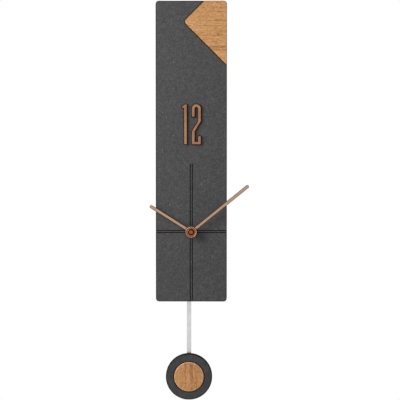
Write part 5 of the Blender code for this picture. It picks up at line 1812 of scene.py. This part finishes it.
    def knob(self) -> bpy.types.Object:
        """Return the setting knob with a knurled rim and a dished face.

        Returns:
            The piece, not yet dressed.
        """
        low, high = (Vector(corner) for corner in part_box("setting_knob"))
        centre_point = centre_of("setting_knob")
        centre = (centre_point.x, centre_point.z)
        radius = (high.x - low.x) / 2
        rim = []
        for tooth in range(self.knob_teeth):
            for share, depth in ((0.0, 0.0), (0.3, 0.0), (0.5, self.knurl), (0.8, self.knurl)):
                angle = 2 * math.pi * (tooth + share) / self.knob_teeth
                rim.append((centre[0] + (radius - depth) * math.cos(angle),
                            centre[1] + (radius - depth) * math.sin(angle)))
        knob = finish_mesh("knob", plate(rim, low.y, high.y, 0.0001, 0.0001, facets=2))
        hole, end = self.arbor_hole, high.y - 0.0003
        bore = lathe([(0.0, low.y - 0.001), (hole, low.y - 0.001), (hole, end), (0.0, end)],
                     centre, 24)
        dish = lathe([(0.0, high.y - 0.00025), (radius - 0.0016, high.y - 0.00025),
                      (radius - 0.0012, high.y + 0.0002), (0.0, high.y + 0.0002)], centre, 56)
        carve(knob, [dish])
        carve(knob, [bore])
        return knob

    def install(self) -> None:
        """Build the housing and dress the wheel work, coils and board inside it."""
        install(self.case(), BLACK_PLASTIC, BODY_CASE, "black_plastic", "movement_case")
        install(self.cover(), BLACK_PLASTIC, BODY_CASE, "black_plastic", "movement_cover")
        for piece in self.cover_ribs():
            install(piece, BLACK_PLASTIC, BODY_CASE, "black_plastic")
        self.dress_cell(self.cell())
        install(self.knob(), WHITE_PLASTIC, BODY_WORK, "white_plastic", "setting_knob")
        finishes: dict[Finish, Sequence[str]] = {
            BRASS: ("centre_wheel", "third_wheel"),
            WHITE_PLASTIC: ("hour_wheel", "minute_work_wheel", "seconds_wheel",
                            "intermediate_wheel", "rotor_pinion", "train_plate"),
            MAGNET: ("rotor_magnet", "arm_magnet"),
            ZINC: ("stator_plate", "quartz_crystal", "contact_negative", "contact_positive",
                   "arm_axle"),
            COIL_X: ("motor_coil",),
            COIL_Y: ("drive_coil",),
            MASK: ("circuit_board",),
            BLACK_PLASTIC: ("timing_chip",),
            RUBBER: ("rubber_washer",),
        }
        for finish, nodes in finishes.items():
            for node in nodes:
                finish.dress(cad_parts[node])
                LOG.info("dressed %s", node)


# ---------------------------------------------------------------- pendulum

@dataclass
class Pendulum:
    """Arm, flat rod, and the bob with its oak disc, clip and screws."""

    rod_edge: float = 0.00018
    peg_radius: float = 0.0010
    peg_head_radius: float = 0.0017
    room: float = 0.0003
    keyhole_drop: float = 0.0045
    rod_above_peg: float = 0.0043
    bob_edge: float = 0.0013
    disc_joint: float = 0.0014
    disc_edge: float = 0.0008
    disc_rise: float = 0.0008
    lug_width: float = 0.0060
    lug_rise: float = 0.0002
    arm_width: float = 0.0050
    arm_hub: float = 0.0028
    axle_bore: float = 0.00105

    def rod(self) -> bpy.types.Object:
        """Return the flat rod with its keyhole.

        Returns:
            The piece, not yet dressed.
        """
        low, high = (Vector(corner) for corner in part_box("pendulum_rod"))
        x = (low.x + high.x) / 2
        peg_z = high.z - self.rod_above_peg
        slot = self.peg_radius + self.room
        entry = self.peg_head_radius + self.room
        lean = math.degrees(math.acos(slot / entry))
        keyhole = (arc((x, peg_z), slot, 0.0, 180.0, 16)
                   + arc((x, peg_z - self.keyhole_drop), entry, 180.0 - lean, 360.0 + lean, 28))
        return finish_mesh("rod", plate(rounded_box(low.x, low.z, high.x, high.z, 0.0008, 4),
                                        low.y, high.y, self.rod_edge, self.rod_edge, [keyhole]))

    def bob(self, centre: Point) -> bpy.types.Object:
        """Return the bob: a round board with a chamfered edge, a well and a lug.

        Args:
            centre: The axis it is made round, as (x, z).

        Returns:
            The piece, not yet dressed.
        """
        low, high = (Vector(corner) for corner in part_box("pendulum_bob"))
        disc_low, disc_high = (Vector(corner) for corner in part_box("bob_oak_disc"))
        radius = (high.x - low.x) / 2
        well = (disc_high.x - disc_low.x) / 2 + self.disc_joint
        seat = disc_high.y + self.room
        profile = rounded([(0.0, seat, 0.0), (well, seat, 0.0002), (well, low.y, 0.0002),
                           (radius - self.bob_edge, low.y, 0.0006),
                           (radius, low.y + self.bob_edge, 0.0006),
                           (radius, high.y, 0.0004), (0.0, high.y, 0.0)], 4, closed=False)
        bob = finish_mesh("bob", lathe(profile, centre, 160))
        half = self.lug_width / 2
        top = centre[1] + radius + self.lug_rise
        carve(bob, [plate(rounded([(centre[0] - half, top - 0.004, 0.0),
                                   (centre[0] + half, top - 0.004, 0.0),
                                   (centre[0] + half, top, 0.0005),
                                   (centre[0] - half, top, 0.0005)], 3),
                          (low.y + high.y) / 2, high.y - 0.0005, 0.0002, 0.0002)], "UNION")
        for side in ("left", "right"):
            spot = centre_of(f"bob_screw_{side}")
            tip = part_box(f"bob_screw_{side}")[0][1] - self.room
            hole = 0.0013
            carve(bob, [lathe([(0.0, tip), (hole, tip), (hole, high.y + 0.001),
                               (0.0, high.y + 0.001)], (spot.x, spot.z), 24)])
        return bob

    def disc(self, centre: Point) -> bpy.types.Object:
        """Return the oak disc with its eased rim.

        Args:
            centre: The axis it is made round, as (x, z).

        Returns:
            The piece, not yet dressed.
        """
        low, high = (Vector(corner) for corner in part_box("bob_oak_disc"))
        radius = (high.x - low.x) / 2
        front = low.y - self.disc_rise
        profile = rounded([(0.0, front, 0.0), (radius - self.disc_edge, front, 0.0005),
                           (radius, front + self.disc_edge, 0.0005), (radius, high.y, 0.0002),
                           (0.0, high.y, 0.0)], 4, closed=False)
        return finish_mesh("oak_disc", lathe(profile, centre, 128))

    def arm(self) -> bpy.types.Object:
        """Return the moulded arm with its headed peg.

        Returns:
            The piece, not yet dressed.
        """
        low, high = (Vector(corner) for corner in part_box("pendulum_arm"))
        x = (low.x + high.x) / 2
        pivot = (x, high.z - self.arm_hub)
        half = self.arm_width / 2
        lower = (x, low.z + half)
        join = math.degrees(math.asin(half / self.arm_hub))
        outline = (arc(pivot, self.arm_hub, -90.0 + join, 270.0 - join, 32)
                   + arc(lower, half, 180.0, 360.0, 20))
        back = low.y + 0.0016
        arm = finish_mesh("swing_arm", plate(outline, low.y, back, 0.0002, 0.0002,
                                             [circle(pivot, self.axle_bore, 24)]))
        neck_end = high.y - 0.0006
        peg = lathe([(0.0, back - 0.0008), (self.peg_radius, back - 0.0008),
                     (self.peg_radius, neck_end), (self.peg_head_radius - 0.0002, neck_end),
                     (self.peg_head_radius, neck_end + 0.0002),
                     (self.peg_head_radius, high.y - 0.0002),
                     (self.peg_head_radius - 0.0002, high.y), (0.0, high.y)], lower, 32)
        carve(arm, [peg], "UNION")
        return arm

    def clip(self) -> bpy.types.Object:
        """Return the clip plate that traps the rod behind the bob.

        Returns:
            The piece, not yet dressed.
        """
        low, high = (Vector(corner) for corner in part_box("bob_clip"))
        spots = [centre_of(f"bob_screw_{side}") for side in ("left", "right")]
        return finish_mesh("clip", plate(
            rounded_box(low.x, low.z, high.x, high.z, 0.002), low.y, high.y, 0.00015, 0.00015,
            [circle((spot.x, spot.z), 0.0013, 24) for spot in spots]))

    def screw(self, side: str) -> bpy.types.Object:
        """Return a small domed screw with a cross slot.

        Args:
            side: Which of the pair: "left" or "right".

        Returns:
            The piece, not yet dressed.
        """
        low, high = (Vector(corner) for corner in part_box(f"bob_screw_{side}"))
        spot = centre_of(f"bob_screw_{side}")
        centre = (spot.x, spot.z)
        head = (high.x - low.x) / 2
        head_front = high.y - 0.0010
        profile = [(0.0, low.y), (0.0007, low.y + 0.0008)]
        y = low.y + 0.0008
        while y < head_front - 0.0009:
            profile += [(0.0010, y + 0.0002), (0.00075, y + 0.0005)]
            y += 0.0006
        profile += rounded([(0.0010, head_front, 0.0), (head, head_front, 0.0001),
                            (head, high.y - 0.0003, 0.0003), (head * 0.55, high.y, 0.0008),
                            (0.0, high.y, 0.0)], 4, closed=False)
        screw = finish_mesh(f"bob_screw_turned_{side}", lathe(profile, centre, 32))
        carve(screw, [cross_recess(centre, high.y, 0.0011, 0.0004, 0.0006)])
        return screw

    def install(self) -> None:
        """Build and dress the whole pendulum."""
        middle = centre_of("bob_oak_disc")
        centre = (middle.x, middle.z)
        install(self.arm(), WHITE_PLASTIC, BODY_PENDULUM, "white_plastic", "pendulum_arm")
        install(self.rod(), ALUMINIUM, BODY_PENDULUM, "silver", "pendulum_rod")
        bob = self.bob(centre)
        install(bob, BOB_BOARD, BODY_PENDULUM, "anthracite", "pendulum_bob")
        # Painted shade: the bob's chamfer, sides and the well round the disc take the near-black core.
        dress_edges(bob, CORE_AND_SHADE)
        disc = self.disc(centre)
        install(disc, OAK_BOB, BODY_PENDULUM, "oak", "bob_oak_disc")
        # Painted highlight on the disc's rim and sides.
        dress_edges(disc, OAK_EDGE_HIGHLIGHT)
        install(self.clip(), ZINC, BODY_PENDULUM, "steel", "bob_clip")
        for side in ("left", "right"):
            install(self.screw(side), ZINC, BODY_PENDULUM, "steel", f"bob_screw_{side}")


# ---------------------------------------------------------------- studio

@dataclass
class Studio:
    """Pale floor, soft light and the camera."""

    distance: float = 2.20
    azimuth: float = 0.5
    elevation: float = 2.63
    lens: float = 132.25
    aim: Corner = (0.0129, -0.030, -0.2687)
    surround: float = 0.25
    floor_drop: float = 0.16
    floor_size: float = 1.5
    sensor: float = 36.0

    def floor(self) -> None:
        """Lay the pale floor below the clock."""
        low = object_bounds()[0]
        bm = bmesh.new()
        bmesh.ops.create_grid(bm, x_segments=1, y_segments=1, size=self.floor_size / 2)
        floor = finish_mesh("floor", bm)
        floor.location = (0.0, 0.0, low.z - self.floor_drop)
        graph = Graph("pale_floor")
        graph.colour(graph.mix(graph.span(graph.noise(6.0), 0.3, 0.7, 0.0, 1.0),
                               (0.80, 0.80, 0.80), (0.86, 0.86, 0.86)))
        graph.shader.inputs["Roughness"].default_value = 0.8
        floor.data.materials.append(graph.made)
        floor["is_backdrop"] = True

    def lamp(self, name: str, place: Corner, size: float, power: float, tone: Colour) -> None:
        """Add a soft square lamp that points at the clock.

        Args:
            name: The lamp's name.
            place: Where it stands.
            size: Side length.
            power: Watts.
            tone: Its colour.
        """
        data = bpy.data.lights.new(name, "AREA")
        data.size = size
        data.energy = power
        data.color = tone
        lamp = bpy.data.objects.new(name, data)
        lamp.location = place
        toward = Vector(self.aim) - Vector(place)
        lamp.rotation_euler = toward.to_track_quat("-Z", "Y").to_euler()
        bpy.context.scene.collection.objects.link(lamp)

    def sky(self) -> None:
        """Set a white surround that lights the clock only dimly."""
        world = bpy.data.worlds.new("surround")
        world.use_nodes = True
        tree = world.node_tree
        path = tree.nodes.new("ShaderNodeLightPath")
        level = tree.nodes.new("ShaderNodeMapRange")
        level.inputs["To Min"].default_value = self.surround
        tree.links.new(path.outputs["Is Camera Ray"], level.inputs["Value"])
        background = tree.nodes["Background"]
        background.inputs["Color"].default_value = (1.0, 1.0, 1.0, 1.0)
        tree.links.new(level.outputs["Result"], background.inputs["Strength"])
        bpy.context.scene.world = world
        bpy.context.scene.view_settings.view_transform = "Standard"

    def camera(self) -> None:
        """Set the camera almost level in front of the clock."""
        data = bpy.data.cameras.new("camera")
        data.lens = self.lens
        data.sensor_width = self.sensor
        camera = bpy.data.objects.new("camera", data)
        turn, lift = math.radians(self.azimuth), math.radians(self.elevation)
        back = Vector((math.sin(turn) * math.cos(lift), -math.cos(turn) * math.cos(lift),
                       math.sin(lift)))
        camera.location = Vector(self.aim) + back * self.distance
        camera.rotation_mode = "QUATERNION"
        camera.rotation_quaternion = (-back).to_track_quat("-Z", "Y")
        bpy.context.scene.collection.objects.link(camera)
        bpy.context.scene.camera = camera

    def install(self) -> None:
        """Set up everything that isn't part of the clock."""
        self.sky()
        self.floor()
        self.lamp("key", (-0.66, -0.58, 0.08), 0.6, 8.2, (1.0, 0.99, 0.98))
        self.lamp("front", (0.0, -3.0, -0.1), 2.0, 12.0, (1.0, 1.0, 1.0))
        self.lamp("low", (-0.5, -0.8, -1.0), 0.4, 1.2, (1.0, 1.0, 1.0))
        self.lamp("rear", (0.7, 2.0, 0.7), 1.2, 22.0, (1.0, 1.0, 1.0))
        self.camera()


def main() -> None:
    """Build the clock from the board outwards, then the studio round it."""
    logging.basicConfig(level=logging.INFO, format="%(name)s: %(message)s")
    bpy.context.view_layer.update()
    for part in (Board(), Numerals(), Hands(), RearFrame(), Movement(), Pendulum(), Studio()):
        part.install()


if __name__ == "__main__":
    main()
